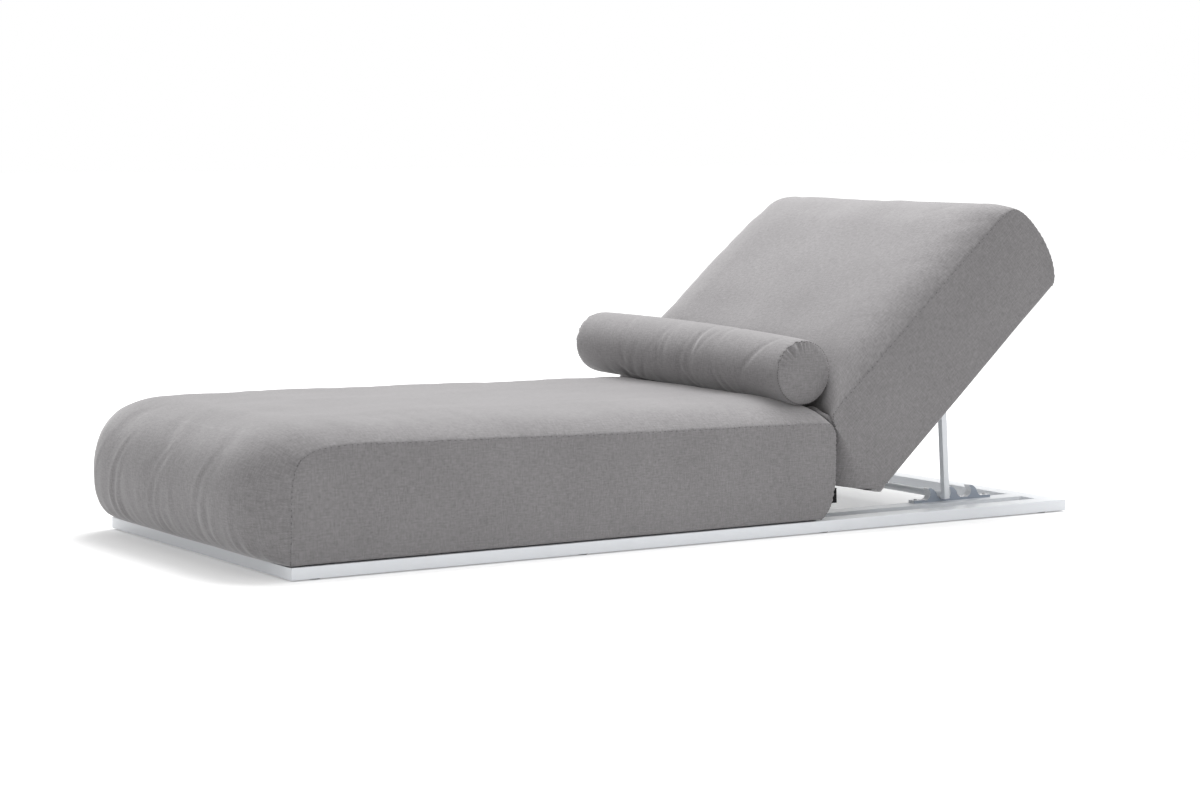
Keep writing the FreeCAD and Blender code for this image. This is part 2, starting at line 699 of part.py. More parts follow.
def screw(name, diameter, head, head_height, length, seat, along):
    """A pan-head screw seated at a point, its shank running along an axis."""
    reach = size(head_height.removeprefix("dim."))
    top = Vector(*seat) - along * reach
    cap = rod(f"{name}_head", head, head_height, top, along)
    shank = rod(f"{name}_shank", diameter, length, seat, along)
    return fused(name, [cap, shank])


DOWN = -Z_AXIS
LEAF_SCREW = ("dim.leaf_screw_diameter", "dim.leaf_screw_head", "dim.leaf_screw_head_height")
seat_leaf_screws = [
    screw(f"seat_leaf_screw_{i}", *LEAF_SCREW, "dim.leaf_thickness + dim.rail_wall",
          (x, y, z + size("leaf_thickness")), DOWN)
    for i, (x, y, z) in enumerate(SEAT_LEAF_SCREWS)
]
keep(group("seat_leaf_screws", seat_leaf_screws), "seat_leaf_screws")
back_leaf_screws = [
    screw(f"back_leaf_screw_{i}", *LEAF_SCREW, "dim.leaf_thickness + dim.rail_wall",
          (x, BACK_START - size("leaf_thickness"), LEAF_SCREW_Z), Y_AXIS)
    for i, x in enumerate(x for _, sign in SIDES for x in leaf_screw_xs(sign))
]
keep(tilted(group("back_leaf_screws", back_leaf_screws)), "back_leaf_screws")


# Ratchet racks on the inner rails: hooked teeth, hollowed towards the foot and sloping towards the head
POCKET_SHARES = (0.1, 0)
HOLLOW_SHARES = (0.415, 0.41)
HOOK_SHARES = (0.31, 0.95)
TIP_SHARES = (0.39, 1)
CREST_SHARES = (0.485, 0.97)
BEND_SHARES = (0.62, 0.76)
SLOPE_SHARES = (0.72, 0.48)
TOE_SHARES = (0.79, 0.17)
VALLEY_SHARES = (0.92, 0)


def rack_profile(x):
    """The side view of a rack, with one tooth for each pitch between two flat tongues."""
    floor = RAIL_TOP + size("rack_base")
    pitch = size("rack_pitch")
    places = [Vector(x, RACK_START, RAIL_TOP), Vector(x, RACK_START, floor)]
    edges = [Part.LineSegment(places[0], places[1])]
    last = places[1]
    for tooth in range(RACK_HUMPS):
        start = RACK_START + size("rack_tongue") + tooth * pitch

        def at(shares):
            """A point of the tooth at shares of its pitch and rise."""
            return Vector(x, start + shares[0] * pitch, floor + shares[1] * size("rack_rise"))

        edges += [
            Part.LineSegment(last, at(POCKET_SHARES)),
            Part.Arc(at(POCKET_SHARES), at(HOLLOW_SHARES), at(HOOK_SHARES)),
            Part.Arc(at(HOOK_SHARES), at(TIP_SHARES), at(CREST_SHARES)),
            Part.Arc(at(CREST_SHARES), at(BEND_SHARES), at(SLOPE_SHARES)),
            Part.Arc(at(SLOPE_SHARES), at(TOE_SHARES), at(VALLEY_SHARES)),
        ]
        last = at(VALLEY_SHARES)
    end_top = Vector(x, RACK_END, floor)
    end_floor = Vector(x, RACK_END, RAIL_TOP)
    edges += [
        Part.LineSegment(last, end_top),
        Part.LineSegment(end_top, end_floor),
        Part.LineSegment(end_floor, places[0]),
    ]
    return Part.Face(Part.Wire([edge.toShape() for edge in edges]))


RACK_SCREW = ("dim.rack_screw_diameter", "dim.rack_screw_head", "dim.rack_screw_head_height")
rack_screws = []
for side, sign in SIDES:
    low_x = RACK_X * sign - size("rack_width") / 2
    bar = shaped(f"rack_bar_{side}", rack_profile(low_x).extrude(X_AXIS * size("rack_width")))
    holes = hole_rods(
        f"rack_hole_{side}",
        "dim.rack_screw_diameter + 2 * dim.running_clearance",
        rack_screw_places(sign),
        "dim.rack_base + dim.overrun",
        "dim.overrun",
    )
    keep(cut(f"ratchet_rack_{side}", bar, holes), f"ratchet_rack_{side}")
    rack_screws += [
        screw(f"rack_screw_{side}_{i}", *RACK_SCREW, "dim.rack_base + dim.rail_wall",
              (x, y, z + size("rack_base")), DOWN)
        for i, (x, y, z) in enumerate(rack_screw_places(sign))
    ]
keep(group("rack_screws", rack_screws), "rack_screws")

# Prop stand: its foot bar lies before the second tooth, its head pins sit in lugs under the back
BAR_R = size("prop_bar_diameter") / 2
BAR_ROOM = BAR_R + size("soft_clearance")
SECOND_TOOTH = RACK_START + size("rack_tongue") + size("rack_pitch")
PROP_FOOT = Vector(0, SECOND_TOOTH, RAIL_TOP + size("rack_base") + BAR_ROOM)
PIN_LEVEL = BACK_FLOOR + size("prop_pin_depth")


def head_pin_place():
    """Where the prop's head pin lies on the flat back so that the propped stand leans as it should."""
    turn = math.radians(size("recline_angle"))
    lean = math.tan(math.radians(size("prop_lean_angle")))
    drop = PIN_LEVEL - HINGE.z
    base_y = HINGE.y - drop * math.sin(turn)
    base_z = HINGE.z + drop * math.cos(turn)
    reach = (PROP_FOOT.y - base_y - lean * (base_z - PROP_FOOT.z)) / (math.cos(turn) + lean * math.sin(turn))
    return Vector(0, HINGE.y + reach, PIN_LEVEL)


HEAD_PIN_FLAT = head_pin_place()
PROP_HEAD = TILT.multVec(HEAD_PIN_FLAT)
PROP_LENGTH = (PROP_HEAD - PROP_FOOT).Length
PROP_UP = (PROP_HEAD - PROP_FOOT) / PROP_LENGTH
STAND = Placement(PROP_FOOT, Rotation(Z_AXIS, PROP_UP))
PROP_HALF = size("prop_tube") / 2
PROP_X = INNER_IN + size("rack_width") + size("prop_clearance") + PROP_HALF
LEG_LENGTH = f"{PROP_LENGTH} + dim.prop_tube"
LEG_BORE = "dim.prop_tube - 2 * dim.prop_wall"
PIN_HOLE = "dim.prop_pin_diameter + 2 * dim.running_clearance"


def standing(item):
    """Set a prop piece, drawn upright on its foot axis, at its lean in the rack."""
    item.Placement = STAND.multiply(item.Placement)
    return item


caps = []
bushes = []
for side, sign in SIDES:
    middle = sign * PROP_X
    outside = box(
        f"prop_leg_outside_{side}", "dim.prop_tube", "dim.prop_tube", LEG_LENGTH,
        (middle - PROP_HALF, -PROP_HALF, -PROP_HALF),
    )
    wall = size("prop_wall")
    bore = box(
        f"prop_leg_bore_{side}", LEG_BORE, LEG_BORE, LEG_LENGTH,
        (middle - PROP_HALF + wall, -PROP_HALF + wall, -PROP_HALF),
    )
    hole_start = (middle - size("prop_tube"), 0, PROP_LENGTH)
    pin_hole = rod(f"prop_leg_hole_{side}", PIN_HOLE, "2 * dim.prop_tube", hole_start, X_AXIS)
    keep(standing(cut(f"prop_leg_{side}", outside, [bore, pin_hole])), f"prop_leg_{side}")
    caps.append(box(
        f"prop_cap_{side}", "dim.prop_tube", "dim.prop_tube", "dim.prop_cap",
        (middle - PROP_HALF, -PROP_HALF, PROP_LENGTH + PROP_HALF),
    ))
    sleeve_x = middle + PROP_HALF if sign > 0 else middle - PROP_HALF - size("lug_width")
    sleeve_start = (sleeve_x, 0, PROP_LENGTH)
    sleeve = rod(f"bush_outside_{side}", "dim.bush_diameter", "dim.lug_width", sleeve_start, X_AXIS)
    bore = rod(f"bush_bore_{side}", PIN_HOLE, "dim.lug_width", sleeve_start, X_AXIS)
    bushes.append(cut(f"bush_{side}", sleeve, [bore]))
keep(standing(group("prop_caps", caps)), "prop_caps")
keep(standing(group("prop_bushes", bushes)), "prop_bushes")

BAR_X = -PROP_X + PROP_HALF
foot_bar = rod(
    "prop_foot_bar", "dim.prop_bar_diameter", f"2 * {PROP_X} - dim.prop_tube", (BAR_X, 0, 0), X_AXIS
)
keep(standing(foot_bar), "prop_foot_bar")
head_bar = rod(
    "prop_head_bar", "dim.prop_pin_diameter", f"2 * {PROP_X} + dim.prop_tube + 2 * dim.lug_width",
    (BAR_X - size("prop_tube") - size("lug_width"), 0, PROP_LENGTH), X_AXIS,
)
keep(standing(head_bar), "prop_head_bar")

# Prop lugs under the back deck, open towards the top end where the stand folds away
BUSH_ROOM = "dim.bush_diameter + 2 * dim.soft_clearance"
for side, sign in SIDES:
    low_x = sign * PROP_X + (PROP_HALF if sign > 0 else -PROP_HALF - size("lug_width"))
    low_x += sign * size("soft_clearance")
    blank = box(
        f"lug_blank_{side}",
        "dim.lug_width - dim.soft_clearance",
        "dim.lug_length",
        "dim.back_tube_height - dim.prop_pin_depth",
        (low_x, HEAD_PIN_FLAT.y - size("lug_length") / 2, PIN_LEVEL),
    )
    seat = rod(f"lug_seat_{side}", BUSH_ROOM, "3 * dim.lug_width",
               (low_x - size("lug_width"), HEAD_PIN_FLAT.y, HEAD_PIN_FLAT.z), X_AXIS)
    mouth = box(
        f"lug_mouth_{side}",
        "3 * dim.lug_width",
        "dim.lug_length",
        "dim.overrun + dim.bush_diameter / 2 + dim.soft_clearance",
        (low_x - size("lug_width"), HEAD_PIN_FLAT.y, PIN_LEVEL - size("overrun")),
    )
    keep(tilted(cut(f"prop_lug_{side}", blank, [seat, mouth])), f"prop_lug_{side}")


# Bolster: a round cushion with drawn-in ends, resting in the crease
DOME_SHARES = (0.27, 0.55)


def bolster_shape(radius):
    """The round body: a slightly swelled side, a tight edge and a domed end, turned about X."""
    half = size("bolster_length") / 2
    edge = size("bolster_edge")
    dome = size("bolster_end_dome")
    swell = size("bolster_swell")
    axis_left = Vector(-half, 0, 0)
    tip_left = Vector(-half, 0, size("bolster_end_flat"))
    ring_left = Vector(-half + dome, 0, radius - swell - edge)
    dome_left = Vector(-half + DOME_SHARES[0] * dome, 0, DOME_SHARES[1] * (radius - swell - edge))
    side_left = Vector(-half + dome + edge, 0, radius - swell)
    corner = ARC_MIDDLE_SHARE * edge
    edge_left = Vector(-half + dome + corner, 0, radius - swell - corner)
    crest = Vector(0, 0, radius)

    def mirrored(point):
        return Vector(-point.x, point.y, point.z)

    edges = [
        Part.LineSegment(axis_left, tip_left),
        Part.Arc(tip_left, dome_left, ring_left),
        Part.Arc(ring_left, edge_left, side_left),
        Part.Arc(side_left, crest, mirrored(side_left)),
        Part.Arc(mirrored(side_left), mirrored(edge_left), mirrored(ring_left)),
        Part.Arc(mirrored(ring_left), mirrored(dome_left), mirrored(tip_left)),
        Part.LineSegment(mirrored(tip_left), mirrored(axis_left)),
        Part.LineSegment(mirrored(axis_left), axis_left),
    ]
    face = Part.Face(Part.Wire([item.toShape() for item in edges]))
    return face.revolve(Vector(), X_AXIS, 360)


doc.recompute()
BOLSTER_R = size("bolster_diameter") / 2
bolster_form = bolster_shape(BOLSTER_R)
bolster_y = HINGE.y - size("bolster_setback")
seat_section = Part.Face(seat_profile(0, 1))


def sinks_in(level):
    """Whether the bolster, with its axis at a level, would reach into the seat."""
    outline = Part.makeCircle(BOLSTER_R, Vector(0, bolster_y, level), X_AXIS)
    return Part.Face(Part.Wire(outline)).common(seat_section).Area > 0


# Lower the bolster onto the seat by halving the range in which it first touches
touching = RAIL_TOP + size("seat_side_height")
bolster_z = touching + size("seat_crown") + BOLSTER_R
while bolster_z - touching > size("running_clearance"):
    halfway = (touching + bolster_z) / 2
    if sinks_in(halfway):
        touching = halfway
    else:
        bolster_z = halfway
bolster_z += size("soft_clearance")
BOLSTER_SEAT = Placement(Vector(size("bolster_shift"), bolster_y, bolster_z), Rotation())
core_radius = BOLSTER_R - size("bolster_core_wall")
core_half = size("bolster_length") / 2 - size("bolster_core_wall") - size("bolster_end_dome")
core_room = Part.makeCylinder(core_radius + size("running_clearance"),
                              2 * (core_half + size("running_clearance")),
                              Vector(-core_half - size("running_clearance"), 0, 0), X_AXIS)
bolster_cover = shaped("bolster_cover", bolster_form.cut(core_room))
bolster_cover.Placement = BOLSTER_SEAT
keep(bolster_cover, "bolster_cover")
bolster_core = rod(
    "bolster_core",
    "dim.bolster_diameter - 2 * dim.bolster_core_wall",
    "dim.bolster_length - 2 * dim.bolster_core_wall - 2 * dim.bolster_end_dome",
    (-core_half, 0, 0),
    X_AXIS,
)
bolster_core.Placement = BOLSTER_SEAT.multiply(bolster_core.Placement)
keep(bolster_core, "bolster_core")

# Check every object, then write each sub-part
doc.recompute()
for item in doc.Objects:
    if "Invalid" in item.State or "Error" in item.State:
        raise RuntimeError(f"{item.Name} failed: {item.State}")
os.makedirs("parts", exist_ok=True)
for item in SUB_PARTS:
    if item.Shape.isNull() or not item.Shape.isValid():
        raise RuntimeError(f"{item.Label} has no valid shape")
    item.Shape.exportStep(f"parts/{item.Label}.step")
print(f"{len(SUB_PARTS)} sub-parts")
print(f"hinge {HINGE}, prop foot {PROP_FOOT}, prop head {PROP_HEAD}, prop length {PROP_LENGTH:.2f}")
print(f"bolster centre y {bolster_y:.2f}, z {bolster_z:.2f}")
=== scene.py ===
"""Looks of a reclining sun lounger: sewn cushions, powder-coated frame, fittings and a plain studio."""
import json
import logging
import math
from dataclasses import dataclass, field
from enum import Enum
from typing import Any, Iterable

import bmesh
import bpy
import numpy as np
from bpy.types import ID, Material, Mesh, Node, NodeSocket, NodeTree, Object
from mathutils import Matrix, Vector
from mathutils.kdtree import KDTree


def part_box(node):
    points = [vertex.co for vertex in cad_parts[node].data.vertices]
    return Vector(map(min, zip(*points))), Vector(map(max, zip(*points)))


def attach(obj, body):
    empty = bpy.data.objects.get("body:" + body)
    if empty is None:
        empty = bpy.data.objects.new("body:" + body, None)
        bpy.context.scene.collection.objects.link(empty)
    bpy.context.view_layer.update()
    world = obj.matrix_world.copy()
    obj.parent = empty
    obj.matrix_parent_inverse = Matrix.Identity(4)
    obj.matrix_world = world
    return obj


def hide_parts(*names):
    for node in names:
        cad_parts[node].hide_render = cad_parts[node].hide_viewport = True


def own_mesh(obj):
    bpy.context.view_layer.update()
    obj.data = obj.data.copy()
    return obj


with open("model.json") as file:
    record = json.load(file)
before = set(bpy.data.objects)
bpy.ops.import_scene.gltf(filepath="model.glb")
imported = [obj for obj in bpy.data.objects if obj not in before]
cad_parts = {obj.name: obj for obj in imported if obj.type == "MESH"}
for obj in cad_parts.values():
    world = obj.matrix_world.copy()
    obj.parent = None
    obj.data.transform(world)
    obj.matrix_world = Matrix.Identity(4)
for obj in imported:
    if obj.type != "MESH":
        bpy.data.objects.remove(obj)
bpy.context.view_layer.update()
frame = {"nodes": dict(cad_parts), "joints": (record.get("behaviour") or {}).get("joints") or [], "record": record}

LOG = logging.getLogger("lounger")
MM = 0.001
FOOT_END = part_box("foot_rail")[0][1]
HINGE = next(j["pos_m"] for j in frame["joints"] if j["name"] == "back_recline")
Pair = tuple[float, float]
Triple = tuple[float, float, float]
Station = tuple[Pair, Pair]
Recess = tuple[float, float, float, float, float]
# How near points are one, in sewn panels and in the solids' meshes
SEWN_GAP, SOLID_GAP = 0.02 * MM, 0.01 * MM
# The span that most of a noise texture's values lie in
NOISE_SPAN = {"From Min": 0.3, "From Max": 0.7}
# Each kind of panel has its flat cloth laid elsewhere, so that no pattern runs on over a seam
SIDE_SHIFT, RIM_SHIFT, DISC_SHIFT = 3.7, 9.1, 5.3
WEB_SHIFT, FLOOR_SHIFT, PLEAT_SHIFT = 21.0, 23.0, 25.0


class Body(str, Enum):
    """The rigid bodies that pieces ride on."""

    BASE = "base"
    BACK = "back"
    PROP = "prop"
    BOLSTER = "bolster"


class Slot(str, Enum):
    """The material slots of the stored part."""

    FRAME = "white_frame"
    RACKS = "grey_racks"
    STEEL = "steel_fittings"
    BOARD = "deck_board"
    FABRIC = "grey_fabric"
    TAB = "black_tab"
    RUBBER = "black_rubber"
    NYLON = "white_nylon"
    FILLING = "cushion_filling"


def linear(colour: str) -> tuple[float, float, float, float]:
    """Turn an sRGB hex colour into linear light.

    Args:
        colour: six hex digits after a hash sign.

    Returns:
        Red, green, blue and an alpha of one.
    """
    parts = [int(colour[i:i + 2], 16) / 255 for i in (1, 3, 5)]
    light = [c / 12.92 if c <= 0.04045 else ((c + 0.055) / 1.055) ** 2.4 for c in parts]
    return (light[0], light[1], light[2], 1.0)


def add_node(tree: NodeTree, kind: str, settings: dict[str, Any] | None = None,
             inputs: dict[Any, Any] | None = None) -> Node:
    """Add one node with its settings and its links.

    Args:
        tree: the node tree that gets the node.
        kind: the node's type name.
        settings: properties of the node.
        inputs: socket name or number to a value, an output, or a node that gives its first output.

    Returns:
        The new node.
    """
    node = tree.nodes.new(kind)
    for name, value in (settings or {}).items():
        setattr(node, name, value)
    for name, value in (inputs or {}).items():
        if isinstance(value, Node):
            value = value.outputs[0]
        if isinstance(value, NodeSocket):
            tree.links.new(value, node.inputs[name])
        else:
            node.inputs[name].default_value = value
    return node


def new_material(name: str, reads: str = "Object") -> tuple[Material, NodeTree, Any]:
    """Start a node material.

    Args:
        name: the finish's name.
        reads: the coordinates that its pattern follows.

    Returns:
        The material, its tree and the coordinates' socket.
    """
    material = bpy.data.materials.new(name)
    material.use_nodes = True
    tree = material.node_tree
    tree.nodes.clear()
    return material, tree, add_node(tree, "ShaderNodeTexCoord").outputs[reads]


def end_material(tree: NodeTree, height: Any, strength: float, depth_mm: float,
                 inputs: dict[str, Any]) -> None:
    """Close a material with its relief, its shader and its output.

    Args:
        tree: the material's tree.
        height: the node or socket that gives the relief.
        strength: how much of the relief shows.
        depth_mm: the relief's real depth.
        inputs: the shader's other inputs.
    """
    bump = add_node(tree, "ShaderNodeBump",
                    inputs={"Height": height, "Strength": strength, "Distance": depth_mm * MM})
    shader = add_node(tree, "ShaderNodeBsdfPrincipled", inputs={**inputs, "Normal": bump})
    add_node(tree, "ShaderNodeOutputMaterial", inputs={"Surface": shader})


@dataclass(frozen=True)
class WovenFabric:
    """Outdoor acrylic cloth, plain weave from mixed grey yarn: matt, mottled, pale at low angles."""

    name: str = "woven_outdoor_acrylic"
    dark: str = "#777576"
    light: str = "#918f90"
    thread_mm: float = 2.2
    slub_mm: float = 19.0
    slub_threads: float = 1.3
    sheen: float = 0.70
    sheen_spread: float = 0.40
    bloom: str = "#f2f0f1"
    speck_mm: float = 4.2
    speck_share: float = 0.9
    weave_tone_share: float = 0.12
    weave_relief_share: float = 0.35
    cloud_mm: float = 160.0
    relief_mm: float = 0.22

    def material(self) -> Material:
        """Build the cloth's material.

        Returns:
            A material that reads the piece's own UV map, in metres.
        """
        material, tree, place = new_material(self.name, "UV")
        axes = add_node(tree, "ShaderNodeSeparateXYZ", inputs={0: place})
        # Real threads are about 0.6 mm, too fine to show, so the weave is drawn a few times coarser
        turn = math.pi / (self.thread_mm * MM)
        waves = []
        for axis in ("X", "Y"):
            phase = add_node(tree, "ShaderNodeMath", {"operation": "MULTIPLY"},
                             {0: axes.outputs[axis], 1: turn})
            waves.append(add_node(tree, "ShaderNodeMath", {"operation": "SINE"}, {0: phase}))
        weave = add_node(tree, "ShaderNodeMath", {"operation": "MULTIPLY"},
                         {0: waves[0], 1: waves[1]})
        heather = []
        slub_wide = self.thread_mm * self.slub_threads
        for stretch in ((self.slub_mm, slub_wide), (slub_wide, self.slub_mm)):
            scale = [1 / (stretch[0] * MM), 1 / (stretch[1] * MM), 1.0]
            spread = add_node(tree, "ShaderNodeMapping", inputs={"Vector": place, "Scale": scale})
            heather.append(add_node(tree, "ShaderNodeTexNoise", {"noise_dimensions": "2D"},
                                    {"Vector": spread, "Scale": 1.0, "Detail": 2.0, "Roughness": 0.6}))
        both = add_node(tree, "ShaderNodeMath", {"operation": "ADD"},
                        {0: heather[0].outputs["Fac"], 1: heather[1].outputs["Fac"]})
        speck = add_node(tree, "ShaderNodeTexNoise", {"noise_dimensions": "2D"}, {
            "Vector": place, "Scale": 1 / (self.speck_mm * MM), "Detail": 2.0, "Roughness": 0.7})
        yarn = add_node(tree, "ShaderNodeMath", {"operation": "MULTIPLY_ADD"},
                        {0: speck.outputs["Fac"], 1: self.speck_share, 2: both})
        woven = add_node(tree, "ShaderNodeMath", {"operation": "MULTIPLY_ADD"},
                         {0: weave, 1: self.weave_tone_share, 2: yarn})
        level = add_node(tree, "ShaderNodeMapRange", {"clamp": True},
                         {"Value": woven, "From Min": 0.95, "From Max": 1.95})
        broad = add_node(tree, "ShaderNodeTexNoise", {"noise_dimensions": "2D"},
                         {"Vector": place, "Scale": 1 / (self.cloud_mm * MM), "Detail": 3.0})
        shade = add_node(tree, "ShaderNodeMapRange", {},
                         {"Value": broad.outputs["Fac"], **NOISE_SPAN, "To Min": 0.965, "To Max": 1.035})
        colour = add_node(tree, "ShaderNodeMix", {"data_type": "RGBA"},
                          {0: level, 6: linear(self.dark), 7: linear(self.light)})
        toned = add_node(tree, "ShaderNodeVectorMath", {"operation": "SCALE"},
                         {0: colour.outputs[2], "Scale": shade})
        height = add_node(tree, "ShaderNodeMath", {"operation": "MULTIPLY_ADD"},
                          {0: weave, 1: self.weave_relief_share, 2: yarn})
        rough = add_node(tree, "ShaderNodeMapRange", {},
                         {"Value": yarn, "From Min": 0.8, "From Max": 2.0, "To Min": 0.92, "To Max": 0.8})
        end_material(tree, height, 0.55, self.relief_mm, {
            "Base Color": toned, "Roughness": rough, "Specular IOR Level": 0.22,
            "Sheen Weight": self.sheen, "Sheen Roughness": self.sheen_spread,
            "Sheen Tint": linear(self.bloom)})
        return material


@dataclass(frozen=True)
class PowderCoat:
    """Baked polyester powder on aluminium: satin colour over a very fine orange-peel skin, even unless a pale
    colour is given too, which leaves the first colour on the faces square to X as painted shade.
    """

    name: str
    colour: str
    roughness: float = 0.42
    peel_mm: float = 1.6
    relief_mm: float = 0.05
    cloud_mm: float = 70.0
    unshaded_colour: str = ""

    def material(self) -> Material:
        """Build the coating's material.

        Returns:
            A material on Object coordinates.
        """
        material, tree, place = new_material(self.name)
        peel = add_node(tree, "ShaderNodeTexNoise", {},
                        {"Vector": place, "Scale": 1 / (self.peel_mm * MM), "Detail": 2.0})
        cloud = add_node(tree, "ShaderNodeTexNoise", {},
                         {"Vector": place, "Scale": 1 / (self.cloud_mm * MM), "Detail": 3.0})
        tone = add_node(tree, "ShaderNodeMapRange", {},
                        {"Value": cloud.outputs["Fac"], **NOISE_SPAN, "To Min": 0.975, "To Max": 1.0})
        paint = linear(self.colour)[:3]
        if self.unshaded_colour:
            # Painted shade: faces square to X take the first, grey colour, and the other faces keep the pale
            # colour
            normal = add_node(tree, "ShaderNodeTexCoord").outputs["Normal"]
            aside = add_node(tree, "ShaderNodeSeparateXYZ", inputs={0: normal})
            size = add_node(tree, "ShaderNodeMath", {"operation": "ABSOLUTE"}, {0: aside.outputs["X"]})
            flat = add_node(tree, "ShaderNodeMapRange", {},
                            {"Value": size, "From Min": 0.6, "From Max": 0.9})
            paint = add_node(tree, "ShaderNodeMix", {"data_type": "RGBA"}, {
                0: flat, 6: linear(self.unshaded_colour), 7: linear(self.colour)}).outputs[2]
        colour = add_node(tree, "ShaderNodeVectorMath", {"operation": "SCALE"}, {0: paint, "Scale": tone})
        rough = add_node(tree, "ShaderNodeMapRange", {},
                         {"Value": cloud.outputs["Fac"], **NOISE_SPAN,
                          "To Min": self.roughness - 0.04, "To Max": self.roughness + 0.05})
        end_material(tree, peel.outputs["Fac"], 0.35, self.relief_mm, {
            "Base Color": colour, "Roughness": rough, "IOR": 1.5, "Coat Weight": 0.6,
            "Coat Roughness": 0.25})
        return material


@dataclass(frozen=True)
class BrushedSteel:
    """Stainless steel brushed along its length: grey metal with fine streaks in its gloss."""

    name: str = "brushed_stainless_steel"
    colour: str = "#b9babb"
    streak_mm: Pair = (0.35, 14.0)
    relief_mm: float = 0.03

    def material(self) -> Material:
        """Build the metal's material.

        Returns:
            A material on Object coordinates.
        """
        material, tree, place = new_material(self.name)
        scale = [1 / (self.streak_mm[1] * MM), 1 / (self.streak_mm[0] * MM), 1 / (self.streak_mm[0] * MM)]
        along = add_node(tree, "ShaderNodeMapping", inputs={"Vector": place, "Scale": scale})
        streak = add_node(tree, "ShaderNodeTexNoise", {}, {"Vector": along, "Scale": 1.0, "Detail": 3.0})
        rough = add_node(tree, "ShaderNodeMapRange", {},
                         {"Value": streak.outputs["Fac"], **NOISE_SPAN, "To Min": 0.26, "To Max": 0.42})
        end_material(tree, streak.outputs["Fac"], 0.2, self.relief_mm, {
            "Base Color": linear(self.colour), "Metallic": 1.0, "Roughness": rough})
        return material


@dataclass(frozen=True)
class LaminateBoard:
    """Weatherproof laminate board, pressed with a faint grain along the lounger: matt mid grey."""

    name: str = "pressed_laminate_board"
    colour: str = "#8e8f90"
    dark: str = "#7b7c7d"
    grain_mm: Pair = (3.5, 90.0)
    relief_mm: float = 0.08

    def material(self) -> Material:
        """Build the board's material.

        Returns:
            A material on Object coordinates.
        """
        material, tree, place = new_material(self.name)
        scale = [1 / (self.grain_mm[0] * MM), 1 / (self.grain_mm[1] * MM), 1 / (self.grain_mm[1] * MM)]
        along = add_node(tree, "ShaderNodeMapping", inputs={"Vector": place, "Scale": scale})
        grain = add_node(tree, "ShaderNodeTexNoise", {},
                         {"Vector": along, "Scale": 1.0, "Detail": 4.0, "Roughness": 0.6})
        colour = add_node(tree, "ShaderNodeMix", {"data_type": "RGBA"},
                          {0: grain.outputs["Fac"], 6: linear(self.dark), 7: linear(self.colour)})
        end_material(tree, grain.outputs["Fac"], 0.3, self.relief_mm, {
            "Base Color": colour.outputs[2], "Roughness": 0.6})
        return material


@dataclass(frozen=True)
class MouldedPolymer:
    """Moulded rubber or nylon: one colour with a fine spark-eroded grain in its dull gloss."""

    name: str
    colour: str
    roughness: float
    grain_mm: float = 0.9
    relief_mm: float = 0.05

    def material(self) -> Material:
        """Build the moulding's material.

        Returns:
            A material on Object coordinates.
        """
        material, tree, place = new_material(self.name)
        grain = add_node(tree, "ShaderNodeTexVoronoi", {},
                         {"Vector": place, "Scale": 1 / (self.grain_mm * MM)})
        rough = add_node(tree, "ShaderNodeMapRange", {},
                         {"Value": grain.outputs["Distance"], "From Min": 0.0, "From Max": 1.0,
                          "To Min": self.roughness - 0.08, "To Max": self.roughness + 0.08})
        end_material(tree, grain.outputs["Distance"], 0.25, self.relief_mm, {
            "Base Color": linear(self.colour), "Roughness": rough})
        return material


@dataclass(frozen=True)
class RibbonTape:
    """Black grosgrain ribbon, woven with fine ribs across it: deep matt black."""

    name: str = "black_grosgrain_ribbon"
    colour: str = "#0e0e10"
    rib_mm: float = 1.2
    relief_mm: float = 0.15

    def material(self) -> Material:
        """Build the ribbon's material.

        Returns:
            A material on Object coordinates, with its ribs stacked upwards.
        """
        material, tree, place = new_material(self.name)
        axes = add_node(tree, "ShaderNodeSeparateXYZ", inputs={0: place})
        phase = add_node(tree, "ShaderNodeMath", {"operation": "MULTIPLY"},
                         {0: axes.outputs["Z"], 1: 2 * math.pi / (self.rib_mm * MM)})
        rib = add_node(tree, "ShaderNodeMath", {"operation": "SINE"}, {0: phase})
        end_material(tree, rib, 0.5, self.relief_mm, {
            "Base Color": linear(self.colour), "Roughness": 0.8, "Specular IOR Level": 0.2})
        return material


@dataclass
class Finishes:
    """Every finish of the lounger, made once and shared by its pieces."""

    fabric: Material
    thread: Material
    frame: Material
    racks: Material
    steel: Material
    board: Material
    tab: Material
    rubber: Material
    nylon: Material

    @classmethod
    def make(cls) -> "Finishes":
        """Build all the materials.

        Returns:
            The lounger's set of finishes.
        """
        return cls(
            fabric=WovenFabric().material(),
            # The thread is darker than the cloth: painted shade that draws the seams as dark lines
            thread=MouldedPolymer("dark_thread_painted_seam_shade", "#5a5859", 0.8, 0.6).material(),
            frame=PowderCoat("white_powder_coat", "#eff2f6").material(),
            # The racks' pale coat gets a grey painted shade on its faces square to X
            racks=PowderCoat("pale_powder_coat_painted_side_shade", "#9aa3b0", 0.38, unshaded_colour="#e9ebee").material(),
            steel=BrushedSteel().material(),
            board=LaminateBoard().material(),
            tab=RibbonTape().material(),
            rubber=MouldedPolymer("moulded_black_rubber", "#1d1d1f", 0.75).material(),
            nylon=MouldedPolymer("moulded_white_nylon", "#e4e4e2", 0.45).material(),
        )

    def for_slot(self, slot: Slot) -> Material:
        """The material of one of the stored part's slots."""
        return getattr(self, slot.name.lower())


